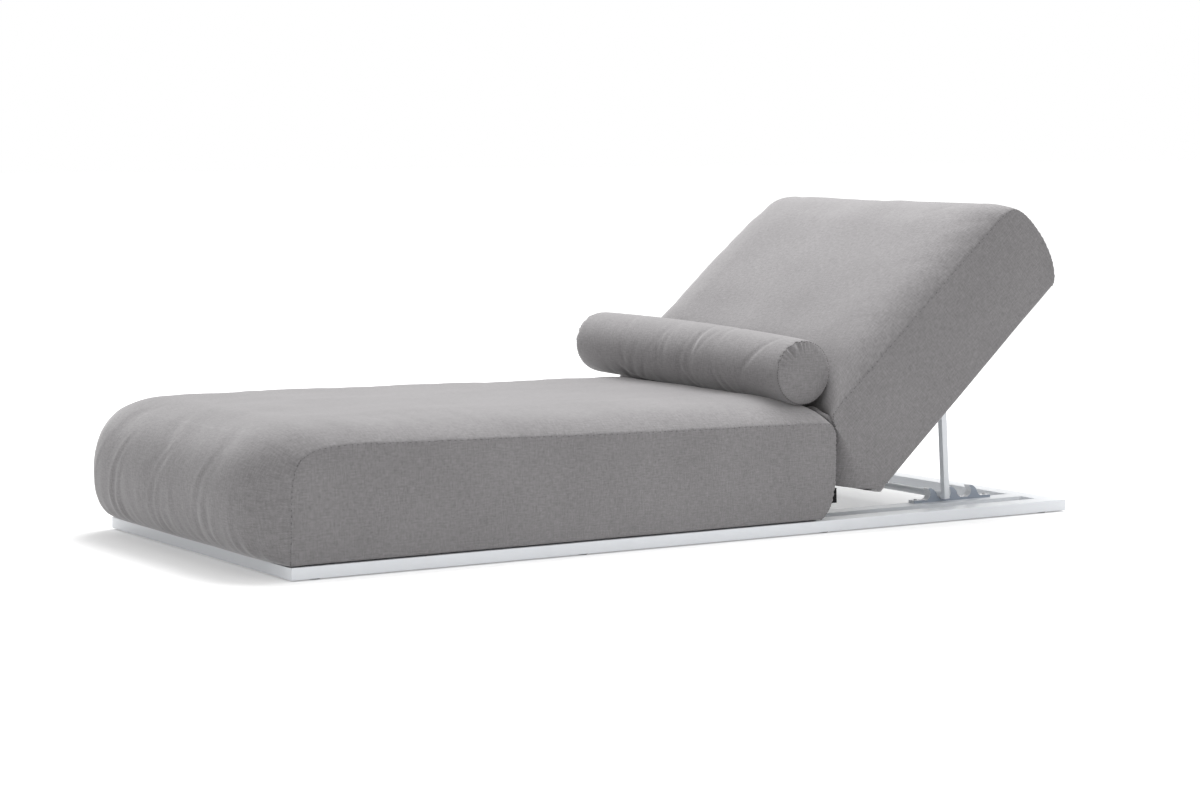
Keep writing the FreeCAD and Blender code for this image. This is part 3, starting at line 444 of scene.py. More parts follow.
def hermite(knots: np.ndarray, values: np.ndarray, at: np.ndarray) -> np.ndarray:
    """Run a smooth curve through values at uneven knots.

    Args:
        knots: rising parameters, one for each value.
        values: points, one row for each knot.
        at: the parameters to read.

    Returns:
        One row for each parameter.
    """
    step = np.diff(knots)[:, None]
    slope = np.diff(values, axis=0) / step
    tangent = np.vstack([slope[:1], (slope[:-1] * step[1:] + slope[1:] * step[:-1]) / (step[1:] + step[:-1]),
                         slope[-1:]])
    index = np.clip(np.searchsorted(knots, at, side="right") - 1, 0, len(knots) - 2)
    width = step[index]
    t = ((at - knots[index])[:, None]) / width
    return ((2 * t**3 - 3 * t**2 + 1) * values[index] + (t**3 - 2 * t**2 + t) * width * tangent[index]
            + (3 * t**2 - 2 * t**3) * values[index + 1] + (t**3 - t**2) * width * tangent[index + 1])


def eased(value: np.ndarray, low: float, high: float) -> np.ndarray:
    """A smooth step from 0 at low to 1 at high."""
    t = np.clip((value - low) / (high - low), 0.0, 1.0)
    return t * t * (3 - 2 * t)


def rippled(points: np.ndarray, wave: float, seed: int, parts: int = 7) -> np.ndarray:
    """Smooth uneven heights over a surface, the same on each run.

    Args:
        points: places, one row each.
        wave: the usual distance from crest to crest, in metres.
        seed: which pattern.
        parts: how many waves are added up.

    Returns:
        One height for each place, mostly between -1 and 1.
    """
    dice = np.random.default_rng(seed)
    total = np.zeros(len(points))
    for _ in range(parts):
        way = dice.normal(size=points.shape[1])
        way *= 2 * math.pi / (wave * dice.uniform(0.7, 1.6) * np.linalg.norm(way))
        total += np.sin(points @ way + dice.uniform(0, 2 * math.pi))
    return total / math.sqrt(parts)


def linked(name: str, data: ID) -> Object:
    """Put some data into the scene.

    Args:
        name: the new object's name.
        data: its mesh, lamp or camera.

    Returns:
        The linked object.
    """
    item = bpy.data.objects.new(name, data)
    bpy.context.collection.objects.link(item)
    return item


class PanelMesh:
    """Gathers grids of points into one sewn mesh with a UV map in metres."""

    def __init__(self) -> None:
        """Start with no panels."""
        self.points: list[np.ndarray] = []
        self.flat: list[np.ndarray] = []
        self.faces: list[tuple[int, ...]] = []
        self.count = 0

    def add_grid(self, points: np.ndarray, flat: np.ndarray) -> None:
        """Add a panel.

        Args:
            points: rows by columns by three, in metres.
            flat: rows by columns by two, the panel's cloth laid flat, in metres.
        """
        rows, columns = points.shape[:2]
        number = self.count + np.arange(rows * columns).reshape(rows, columns)
        quads = np.stack([number[:-1, :-1], number[1:, :-1], number[1:, 1:], number[:-1, 1:]], axis=-1)
        self.faces += [tuple(quad) for quad in quads.reshape(-1, 4).tolist()]
        self.points.append(points.reshape(-1, 3))
        self.flat.append(flat.reshape(-1, 2))
        self.count += rows * columns

    def build(self, name: str) -> Object:
        """Sew the panels together.

        Args:
            name: the new object's name.

        Returns:
            A linked object with merged edges, outward faces and a UV map.
        """
        mesh = bpy.data.meshes.new(name)
        mesh.from_pydata(np.vstack(self.points).tolist(), [], self.faces)
        laid = np.vstack(self.flat)
        layer = mesh.uv_layers.new(name="cloth")
        corner = np.empty(len(mesh.loops), dtype=np.int32)
        mesh.loops.foreach_get("vertex_index", corner)
        layer.data.foreach_set("uv", laid[corner].astype(np.float32).ravel())
        form = bmesh.new()
        form.from_mesh(mesh)
        bmesh.ops.remove_doubles(form, verts=form.verts, dist=SEWN_GAP)
        bmesh.ops.dissolve_degenerate(form, edges=form.edges, dist=SEWN_GAP)
        bmesh.ops.recalc_face_normals(form, faces=form.faces)
        form.to_mesh(mesh)
        form.free()
        return linked(name, mesh)


def vertex_array(mesh: Mesh, name: str = "co") -> np.ndarray:
    """Read a mesh's vertices.

    Args:
        mesh: the mesh.
        name: co for the places, or normal.

    Returns:
        Places or normals, one row each.
    """
    source = mesh.vertices if name == "co" else mesh.vertex_normals
    values = np.empty(len(mesh.vertices) * 3, dtype=np.float32)
    source.foreach_get("co" if name == "co" else "vector", values)
    return values.reshape(-1, 3).astype(float)


def set_vertices(mesh: Mesh, places: np.ndarray) -> None:
    """Move a mesh's vertices to new places."""
    mesh.vertices.foreach_set("co", places.astype(np.float32).ravel())
    mesh.update()


def applied(item: Object) -> None:
    """Bake an object's modifiers into its mesh and remove them.

    Args:
        item: the object, which gets a new mesh.
    """
    ready = item.evaluated_get(bpy.context.evaluated_depsgraph_get())
    mesh = bpy.data.meshes.new_from_object(ready)
    item.modifiers.clear()
    old = item.data
    item.data = mesh
    bpy.data.meshes.remove(old)
    mesh.name = item.name


def subdivided(item: Object) -> None:
    """Refine a mesh smoothly by one level.

    Args:
        item: the mesh's object.
    """
    smooth = item.modifiers.new("refine", "SUBSURF")
    smooth.levels = smooth.render_levels = 1
    smooth.boundary_smooth = "PRESERVE_CORNERS"
    applied(item)


def new_tree(name: str, inputs: dict[str, str], output: str) -> tuple[NodeTree, Any]:
    """Start a geometry tree with named inputs.

    Args:
        name: the tree's name.
        inputs: each input's name, with its kind of value.
        output: the name of the geometry that it gives.

    Returns:
        The tree, and the sockets that give its inputs.
    """
    tree = bpy.data.node_groups.new(name, "GeometryNodeTree")
    for label, kind in inputs.items():
        tree.interface.new_socket(name=label, in_out="INPUT", socket_type=f"NodeSocket{kind}")
    tree.interface.new_socket(name=output, in_out="OUTPUT", socket_type="NodeSocketGeometry")
    return tree, add_node(tree, "NodeGroupInput").outputs


def end_tree(tree: NodeTree, copies: dict[str, Any], material: Material) -> None:
    """Close a geometry tree with real, painted copies of one shape.

    Args:
        tree: the tree.
        copies: the points, the shape, and the copies' turn and scale.
        material: their finish.
    """
    many = add_node(tree, "GeometryNodeInstanceOnPoints", inputs=copies)
    real = add_node(tree, "GeometryNodeRealizeInstances", inputs={"Geometry": many})
    painted = add_node(tree, "GeometryNodeSetMaterial", inputs={"Geometry": real, "Material": material})
    add_node(tree, "NodeGroupOutput", inputs={0: painted})


def grown(item: Object, tree: NodeTree, sizes: dict[str, float]) -> None:
    """Run a geometry tree on an object and keep its plain mesh.

    Args:
        item: the object that carries the tree's points or line.
        tree: the tree.
        sizes: values of the tree's inputs by name.
    """
    maker = item.modifiers.new(tree.name, "NODES")
    maker.node_group = tree
    sockets = {s.name: s.identifier for s in tree.interface.items_tree if s.in_out == "INPUT"}
    for label, value in sizes.items():
        maker[sockets[label]] = value
    applied(item)


def nearest_in(points: np.ndarray) -> KDTree:
    """Sort points for a search.

    Args:
        points: one row each.

    Returns:
        A tree that finds the nearest of them.
    """
    tree = KDTree(len(points))
    for i, point in enumerate(points):
        tree.insert(point, i)
    tree.balance()
    return tree


def distance_to(places: np.ndarray, line: np.ndarray) -> tuple[np.ndarray, np.ndarray]:
    """How far places lie from a row of points.

    Args:
        places: one row for each place.
        line: one row for each point of the line.

    Returns:
        The distance to the nearest point, and that point's number.
    """
    tree = nearest_in(line)
    found = [tree.find(place) for place in places]
    return np.array([f[2] for f in found]), np.array([f[1] for f in found])


def finished(item: Object, material: Material, body: Body,
             nodes: Iterable[str] = (), smooth: bool = True) -> Object:
    """Give a piece its material and body, and hide the solids that it stands for.

    Args:
        item: the piece, in place.
        material: its finish.
        body: what it rides on.
        nodes: the solids that it stands for.
        smooth: whether its faces are shaded smoothly.

    Returns:
        The same piece.
    """
    item.data.materials.clear()
    item.data.materials.append(material)
    if smooth:
        item.data.shade_smooth()
    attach(item, body.value)
    if nodes:
        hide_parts(*nodes)
    LOG.info("%s: %d faces on %s", item.name, len(item.data.polygons), body.value)
    return item


@dataclass
class ClothSettling:
    """A short cloth run that lets a cover swell between its sewn lines.

    The broad swell is taken out again, because the stations already hold the stuffed form.
    """

    frames: int = 20
    quality: int = 5
    mass: float = 0.25
    air_damping: float = 2.0
    pressure: float = 4.0
    stiffness: float = 18.0
    bending: float = 0.6
    spare_share: float = 0.008
    reach: float = 0.024
    broad_share: float = 0.06
    fine_share: float = 0.30
    broad_steps: int = 60

    def settle(self, item: Object, pinned: np.ndarray) -> None:
        """Swell a cover in place.

        Args:
            item: the cover, a closed mesh.
            pinned: how firmly each vertex is held, from 0 to 1.
        """
        before = vertex_array(item.data)
        trial = item.copy()
        trial.data = item.data.copy()
        bpy.context.collection.objects.link(trial)
        group = trial.vertex_groups.new(name="sewn")
        for i, weight in enumerate(pinned):
            if weight > 0.001:
                group.add([i], float(weight), "REPLACE")
        cloth = trial.modifiers.new("cloth", "CLOTH")
        made = cloth.settings
        made.quality = self.quality
        made.mass = self.mass
        made.tension_stiffness = made.compression_stiffness = self.stiffness
        made.shear_stiffness = self.stiffness / 3
        made.bending_stiffness = self.bending
        made.air_damping = self.air_damping
        made.use_pressure = True
        made.uniform_pressure_force = self.pressure
        made.vertex_group_mass = group.name
        made.pin_stiffness = 1.0
        made.shrink_min = made.shrink_max = -self.spare_share
        made.effector_weights.gravity = 0.0
        cloth.collision_settings.use_collision = False
        cloth.point_cache.frame_end = self.frames
        scene = bpy.context.scene
        for number in range(1, self.frames + 1):
            scene.frame_set(number)
        ready = trial.evaluated_get(bpy.context.evaluated_depsgraph_get())
        after = vertex_array(ready.data)
        bpy.data.objects.remove(trial, do_unlink=True)
        scene.frame_set(1)
        moved = after - before
        length = np.linalg.norm(moved, axis=1, keepdims=True)
        moved *= np.minimum(1.0, self.reach / np.maximum(length, 1e-9))
        broad = self.smoothed(item.data, moved)
        set_vertices(item.data, before + (moved - broad) * self.fine_share + broad * self.broad_share)

    def smoothed(self, mesh: Mesh, moved: np.ndarray) -> np.ndarray:
        """Spread each vertex's move over its neighbours.

        Args:
            mesh: the cover.
            moved: one move for each vertex.

        Returns:
            The moves without their fine folds.
        """
        pairs = np.empty(len(mesh.edges) * 2, dtype=np.int32)
        mesh.edges.foreach_get("vertices", pairs)
        ends = np.concatenate([pairs[::2], pairs[1::2]])
        others = np.concatenate([pairs[1::2], pairs[::2]])
        count = np.maximum(np.bincount(ends, minlength=len(moved)), 1)
        broad = moved.copy()
        for _ in range(self.broad_steps):
            around = [np.bincount(ends, weights=broad[others, i], minlength=len(moved)) / count
                      for i in range(3)]
            broad = (broad + np.column_stack(around)) / 2
        return broad


@dataclass
class BoxCushion:
    """A foam block in a sewn cover: one wrapping panel between two side panels.

    A station is a point of the side seam with the matching point of the middle section, as (y, z) in mm,
    where y is measured from the foot end of the frame. The recess is the room for the deck: half its width,
    its two ends, and the levels of its rim and its top. The pucker has a wave, a height, a reach beside a
    seam and a seed, and the uneven filling has waves, heights and seeds. The cover is held over the first
    distance from a seam or from the rim, and free beyond the second.
    """

    name: str
    stations: list[Station]
    corners: tuple[int, int]
    half_width: float
    recess: Recess
    body: Body
    nodes: tuple[str, ...]
    grid_mm: float = 15.0
    fullness: float = 10.0
    seam_depth: float = 0.0022
    seam_reach: float = 0.0026
    seam_rows: Pair = (0.0016, 0.0048)
    even_share: float = 0.3
    side_swell: float = 0.002
    swell_power: float = 0.6
    held_near: Pair = (0.002, 0.03)
    held_low: Pair = (0.012, 0.05)
    pucker: tuple[float, float, float, int] = (0.034, 0.0005, 0.018, 11)
    filling: tuple[tuple[float, float, int], ...] = ((0.30, 0.0011, 5), (0.11, 0.0004, 7))
    filling_reach: float = 0.06
    fill: float = 0.9

    def across(self) -> np.ndarray:
        """Spread the columns of the wrapping panel.

        Returns:
            Places across the width from -1 to 1, closer together near the seams.
        """
        even = np.linspace(-1, 1, int(2 * self.half_width / (self.grid_mm * MM)) + 1)
        spread = self.even_share * even + (1 - self.even_share) * np.sin(even * math.pi / 2)
        beside = 1 - self.seam_rows[0] / self.half_width
        return np.concatenate([spread[:1], [-beside], spread[1:-1], [beside], spread[-1:]])

    def swelling(self, across: np.ndarray) -> np.ndarray:
        """How much of the middle section a place across the width has."""
        return 1 - np.abs(across) ** self.fullness

    def outlines(self) -> tuple[np.ndarray, np.ndarray, np.ndarray, np.ndarray]:
        """Sample the seam and the middle section together.

        Returns:
            The seam's points, the middle's points, the shares of an end's rise, and those of the run between.
        """
        side = np.array([s[0] for s in self.stations]) * MM + (FOOT_END, 0.0)
        middle = np.array([s[1] for s in self.stations]) * MM + (FOOT_END, 0.0)
        chords = sum(np.linalg.norm(np.diff(line, axis=0), axis=1) for line in (side, middle)) / 2
        knots = np.concatenate([[0], np.cumsum(chords)])
        first, second = knots[self.corners[0]], knots[self.corners[1]]
        rise, run = self.shares(first, (False, True)), self.shares(second - first, (True, True))
        at = np.concatenate([first * rise, first + (second - first) * run[1:],
                             knots[-1] - (knots[-1] - second) * rise[::-1][1:]])
        return hermite(knots, side, at), hermite(knots, middle, at), rise, run

    def shares(self, length: float, close: tuple[bool, bool]) -> np.ndarray:
        """Places along an edge from 0 to 1, with extra rows beside a seam.

        Args:
            length: the edge's length.
            close: whether a seam crosses at its start and at its end.

        Returns:
            Rising shares of the edge.
        """
        even = np.linspace(0, 1, int(length / (self.grid_mm * MM)) + 2)
        beside = np.array(self.seam_rows) / length
        return np.concatenate([even[:1], beside if close[0] else [], even[1:-1],
                               1 - beside[::-1] if close[1] else [], even[-1:]])

    def placed(self, points: np.ndarray) -> np.ndarray:
        """Where points drawn on the level cushion lie at rest."""
        return points

    def notched(self, wrap: np.ndarray) -> np.ndarray:
        """Leave room at an open end for what stands there."""
        return wrap

    def side_panel(self, seam: np.ndarray, rise: np.ndarray, run: np.ndarray,
                   sign: float) -> tuple[np.ndarray, np.ndarray]:
        """Fill one side inside its seam.

        Args:
            seam: the seam's points as (y, z).
            rise: shares of the rows up an end.
            run: shares of the columns between the ends.
            sign: 1 for the +X side, -1 for the other.

        Returns:
            The panel's points and its flat cloth.
        """
        first, second = len(rise) - 1, len(rise) + len(run) - 2
        left, top, right = seam[:first + 1], seam[first:second + 1], seam[second:][::-1]
        a, b = run[:, None, None], rise[None, :, None]
        bottom = left[0] + (right[0] - left[0]) * a[:, 0]
        mixed = ((1 - a) * left[None] + a * right[None] + (1 - b) * bottom[:, None] + b * top[:, None]
                 - (1 - a) * (1 - b) * left[0] - a * (1 - b) * right[0]
                 - (1 - a) * b * left[-1] - a * b * right[-1])
        swell = (16 * (a * (1 - a) * b * (1 - b))[..., 0]) ** self.swell_power * self.side_swell
        x = sign * (self.half_width + swell)
        return np.dstack([x, mixed]), mixed

    def lower_rim(self, loops: list[np.ndarray]) -> list[np.ndarray]:
        """Close the underside round the room for the deck.

        Args:
            loops: the lower edge's points, one array for each side.

        Returns:
            Grids from the edge to the recess, up its walls, and over it.
        """
        x, low_y, high_y, level, top = self.recess
        grids = []
        for loop in loops:
            inner = loop.copy()
            inner[:, 0] = np.clip(inner[:, 0], -x, x)
            inner[:, 1] = np.clip(inner[:, 1], low_y, high_y)
            wall = inner.copy()
            inner[:, 2] = np.minimum(np.maximum(loop[:, 2], level), top)
            wall[:, 2] = top
            grids.append(np.stack([loop, inner, wall]))
        grids.append(np.array([[(-x, low_y, top), (x, low_y, top)], [(-x, high_y, top), (x, high_y, top)]]))
        return grids

    def shape(self) -> tuple[Object, np.ndarray]:
        """Sew the cover's panels together.

        Returns:
            The object, and the seam lines' points at rest.
        """
        seam, middle, rise, along = self.outlines()
        across = self.across()
        share = self.swelling(across)
        yz = seam[:, None] * (1 - share[None, :, None]) + middle[:, None] * share[None, :, None]
        wrap = self.notched(np.dstack([np.broadcast_to(across * self.half_width, yz.shape[:2]), yz]))
        run = np.concatenate([[0], np.cumsum(np.linalg.norm(np.diff((seam + middle) / 2, axis=0), axis=1))])
        flat = np.dstack(np.broadcast_arrays((across * self.half_width)[None, :], run[:, None]))
        cover = PanelMesh()
        cover.add_grid(self.placed(wrap), flat)
        loops = [wrap[0], wrap[-1]]
        for sign in (-1.0, 1.0):
            panel, laid = self.side_panel(seam, rise, along, sign)
            cover.add_grid(self.placed(panel), laid + sign * SIDE_SHIFT)
            loops.append(panel[:, 0])
        for grid in self.lower_rim(loops):
            cover.add_grid(self.placed(grid), grid[..., :2] + RIM_SHIFT)
        lines = [np.column_stack([np.full(len(seam), sign * self.half_width), seam]) for sign in (-1.0, 1.0)]
        return cover.build(self.name), np.stack([self.placed(line) for line in lines])

    def dents(self, level: np.ndarray, near: np.ndarray, seam_run: np.ndarray) -> np.ndarray:
        """Small moves along the normals that make sewn cloth: seam grooves, puckers and uneven filling.

        Args:
            level: places on the level cushion, one row each.
            near: distance of each place from its seam.
            seam_run: how far along the seam the nearest point lies.

        Returns:
            One move for each place.
        """
        groove = -self.seam_depth * np.exp(-(near / self.seam_reach) ** 2)
        run = np.column_stack([seam_run, np.sign(level[:, 0])])
        wave, height, reach, seed = self.pucker
        pucker = rippled(run, wave, seed) * height * np.exp(-near / reach)
        uneven = sum(rippled(level, wave, seed) * height for wave, height, seed in self.filling)
        return groove + pucker + uneven * eased(near, 0.0, self.filling_reach)

    def unplaced(self, points: np.ndarray) -> np.ndarray:
        """The inverse of placed."""
        return points

    def make(self, finishes: Finishes, settling: ClothSettling | None) -> tuple[Object, np.ndarray]:
        """Build, settle, refine and dress the cushion.

        Args:
            finishes: the lounger's materials.
            settling: the cloth run, or None to leave it out.

        Returns:
            The cushion, and its two seam lines.
        """
        item, seams = self.shape()
        places = self.unplaced(vertex_array(item.data))
        line = np.vstack(seams)
        near, _ = distance_to(self.placed(places), line)
        above = places[:, 2] - self.recess[3]
        held = np.maximum(1 - eased(near, *self.held_near), 1 - eased(above, *self.held_low))
        if settling is not None:
            settling.settle(item, held)
        subdivided(item)
        places = vertex_array(item.data)
        near, which = distance_to(places, line)
        reach = np.concatenate([[0], np.cumsum(np.linalg.norm(np.diff(seams[0], axis=0), axis=1))])
        level = self.unplaced(places)
        move = self.dents(level, near, reach[which % len(reach)])
        move *= eased(level[:, 2] - self.recess[3], 0.0, self.held_low[0])
        set_vertices(item.data, places + vertex_array(item.data, "normal") * move[:, None])
        finished(item, finishes.fabric, self.body, self.nodes)
        return item, seams


@dataclass
class SeatCushion(BoxCushion):
    """The long seat block, crowned on top and swelled at the foot, where the cloth gathers above the rail.

    The gather spans are those of a gather's lean, height, width and depth. An arc has its place, bow and
    top, and the trough beside it a share of its height, an offset and a width.
    """

    name: str = "seat_cushion"
    stations: list[Station] = field(default_factory=lambda: [
        ((-1.5, 29.0), (-10.5, 29.0)), ((-0.5, 56.0), (-52.5, 52.0)), ((0.5, 98.0), (-78.5, 92.0)),
        ((1.5, 140.0), (-86.5, 140.0)), ((3.0, 178.0), (-82.0, 190.0)), ((7.5, 210.0), (-59.5, 240.0)),
        ((22.5, 239.0), (-14.5, 279.0)), ((53.5, 257.0), (39.5, 298.5)),
        ((121.0, 265.5), (113.5, 305.0)), ((245.0, 263.0), (245.5, 305.5)),
        ((477.5, 258.0), (477.5, 303.5)), ((769.5, 251.0), (769.5, 299.5)),
        ((971.5, 248.0), (971.5, 296.0)), ((1177.5, 245.5), (1173.5, 292.5)),
        ((1285.0, 243.2), (1243.5, 291.0)), ((1318.0, 240.5), (1294.5, 283.0)),
        ((1331.0, 231.0), (1324.0, 260.0)), ((1335.5, 213.0), (1332.5, 228.0)),
        ((1336.0, 185.0), (1328.0, 194.0)), ((1336.0, 140.0), (1325.5, 140.0)),
        ((1334.0, 102.0), (1325.0, 100.0)), ((1328.5, 77.0), (1324.5, 78.0)),
        ((1317.0, 50.0), (1323.5, 56.0)), ((1298.0, 29.0), (1322.5, 42.0))])
    corners: tuple[int, int] = (6, 16)
    half_width: float = 0.45
    recess: Recess = (0.4203, FOOT_END + 0.0297, FOOT_END + 1.3215, 0.0288, 0.0406)
    body: Body = Body.BASE
    nodes: tuple[str, ...] = ("seat_cover", "seat_foam")
    gathers: int = 26
    gather_run: float = 0.42
    gather_stray: float = 0.012
    gather_bend: float = 1.1
    gather_spans: tuple[Pair, ...] = ((-0.16, 0.22), (0.05, 0.17), (0.005, 0.010), (0.0008, 0.0026))
    front_depth: float = 0.075
    rail_level: float = 0.03
    arc_height: float = 0.0016
    arc_wide: float = 0.007
    arc_trough: Triple = (0.7, 0.013, 0.008)
    arc_foot: float = 0.02
    arc_span: float = 0.2
    arc_fade: Pair = (0.04, 0.10)
    arcs: tuple[Triple, ...] = (
        (-0.262, 0.075, 0.27), (-0.225, 0.070, 0.22), (-0.055, 0.085, 0.28), (-0.020, 0.060, 0.20),
        (0.165, 0.070, 0.26), (0.215, 0.050, 0.19), (0.330, 0.045, 0.20))

    def dents(self, level: np.ndarray, near: np.ndarray, seam_run: np.ndarray) -> np.ndarray:
        """Add the gathers that fan upwards from the foot rail to the common moves.

        Args:
            level: places on the cushion, one row each.
            near: distance of each place from its seam.
            seam_run: how far along the seam the nearest point lies.

        Returns:
            One move for each place.
        """
        move = super().dents(level, near, seam_run)
        dice = np.random.default_rng(23)
        x, y, z = level.T
        front = 1 - eased(y - FOOT_END, 0.0, self.front_depth)
        z = z - self.rail_level
        stray = dice.uniform(-self.gather_stray, self.gather_stray, self.gathers)
        for place in np.linspace(-self.gather_run, self.gather_run, self.gathers) + stray:
            lean, tall, wide, depth = (dice.uniform(*span) for span in self.gather_spans)
            aside = x - place - lean * z - self.gather_bend * z**2 * np.sign(lean)
            fade = np.exp(-(z / tall) ** 2) * eased(z, 0.0, self.arc_foot)
            move += front * depth * fade * np.exp(-(aside / wide) ** 2)
        for place, bow, top in self.arcs:
            aside = x - place - bow * ((z - self.arc_foot) / self.arc_span) ** 2
            rise, fall = self.arc_fade
            fade = eased(z, 0.0, rise) * (1 - eased(z, top - fall, top - self.rail_level))
            share, offset, wide = self.arc_trough
            ridge = np.exp(-(aside / self.arc_wide) ** 2) - share * np.exp(-((aside - offset) / wide) ** 2)
            move += self.arc_height * front * fade * ridge
        return move


@dataclass
class BackCushion(BoxCushion):
    """The reclining back block, drawn lying flat and then tilted about the recline axis."""

    name: str = "back_cushion"
    stations: list[Station] = field(default_factory=lambda: [
        ((1364.0, 32.5), (1346.0, 34.0)), ((1350.5, 41.0), (1343.5, 46.0)),
        ((1344.5, 58.0), (1342.7, 62.0)), ((1343.0, 100.0), (1342.7, 95.0)),
        ((1343.0, 150.0), (1342.7, 130.0)), ((1343.0, 200.0), (1343.5, 165.0)),
        ((1344.5, 234.0), (1355.5, 215.0)), ((1352.0, 252.5), (1381.5, 257.0)),
        ((1372.0, 258.5), (1423.5, 284.0)), ((1437.5, 259.0), (1482.5, 307.0)),
        ((1604.5, 258.8), (1617.5, 314.0)), ((1794.5, 258.8), (1794.5, 312.0)),
        ((1937.5, 257.0), (1935.5, 302.0)), ((2003.5, 254.5), (1999.5, 285.0)),
        ((2031.5, 246.0), (2033.5, 259.0)), ((2044.5, 226.0), (2051.5, 225.0)),
        ((2051.5, 190.0), (2059.5, 180.0)), ((2052.5, 150.0), (2061.5, 135.0)),
        ((2045.5, 104.0), (2055.5, 92.0)), ((2033.5, 68.0), (2042.5, 62.0)),
        ((2015.5, 43.0), (2023.5, 42.0)), ((2001.5, 34.0), (2007.5, 34.0))])
    corners: tuple[int, int] = (7, 14)
    fullness: float = 16.0
    half_width: float = 0.45
    recess: Recess = (0.4363, FOOT_END + 1.3427, FOOT_END + 2.0271, 0.0306, 0.0756)
    body: Body = Body.BACK
    nodes: tuple[str, ...] = ("back_cover", "back_foam")
    hinge: Pair = (HINGE[1], HINGE[2])
    recline: float = math.radians(42.0)
    upper_lip: float = 0.0602
    lip_gap: float = 0.0015
    lower_room: float = 0.14
    upper_room: float = 0.06

    def turned(self, points: np.ndarray, angle: float) -> np.ndarray:
        """Turn points about the recline axis.

        Args:
            points: places, with X, Y and Z last.
            angle: how far, in radians.

        Returns:
            The turned places.
        """
        y, z = points[..., 1] - self.hinge[0], points[..., 2] - self.hinge[1]
        result = points.copy()
        result[..., 1] = self.hinge[0] + y * math.cos(angle) - z * math.sin(angle)
        result[..., 2] = self.hinge[1] + y * math.sin(angle) + z * math.cos(angle)
        return result

    def placed(self, points: np.ndarray) -> np.ndarray:
        """Tilt flat points to the propped pose."""
        return self.turned(points, self.recline)

    def unplaced(self, points: np.ndarray) -> np.ndarray:
        """Lay tilted points flat."""
        return self.turned(points, -self.recline)

    def notched(self, wrap: np.ndarray) -> np.ndarray:
        """Lift both ends' edges between the side skirts, over the lower tube and over the folded prop.

        Args:
            wrap: the wrapping panel's points.

        Returns:
            The points with both ends lifted.
        """
        x, _, high_y, _, top = self.recess
        wrap = wrap.copy()
        inside = np.abs(wrap[..., 0]) < x
        lower = inside & (wrap[..., 1] < HINGE[1] + self.lower_room)
        wrap[..., 2] = np.where(lower, np.maximum(wrap[..., 2], top), wrap[..., 2])
        upper = inside & (wrap[..., 1] > high_y - self.upper_room) & (wrap[..., 2] < self.upper_lip)
        wrap[..., 1] = np.where(upper, np.maximum(wrap[..., 1], high_y + self.lip_gap), wrap[..., 1])
        wrap[..., 2] = np.where(upper, self.upper_lip, wrap[..., 2])
        return wrap


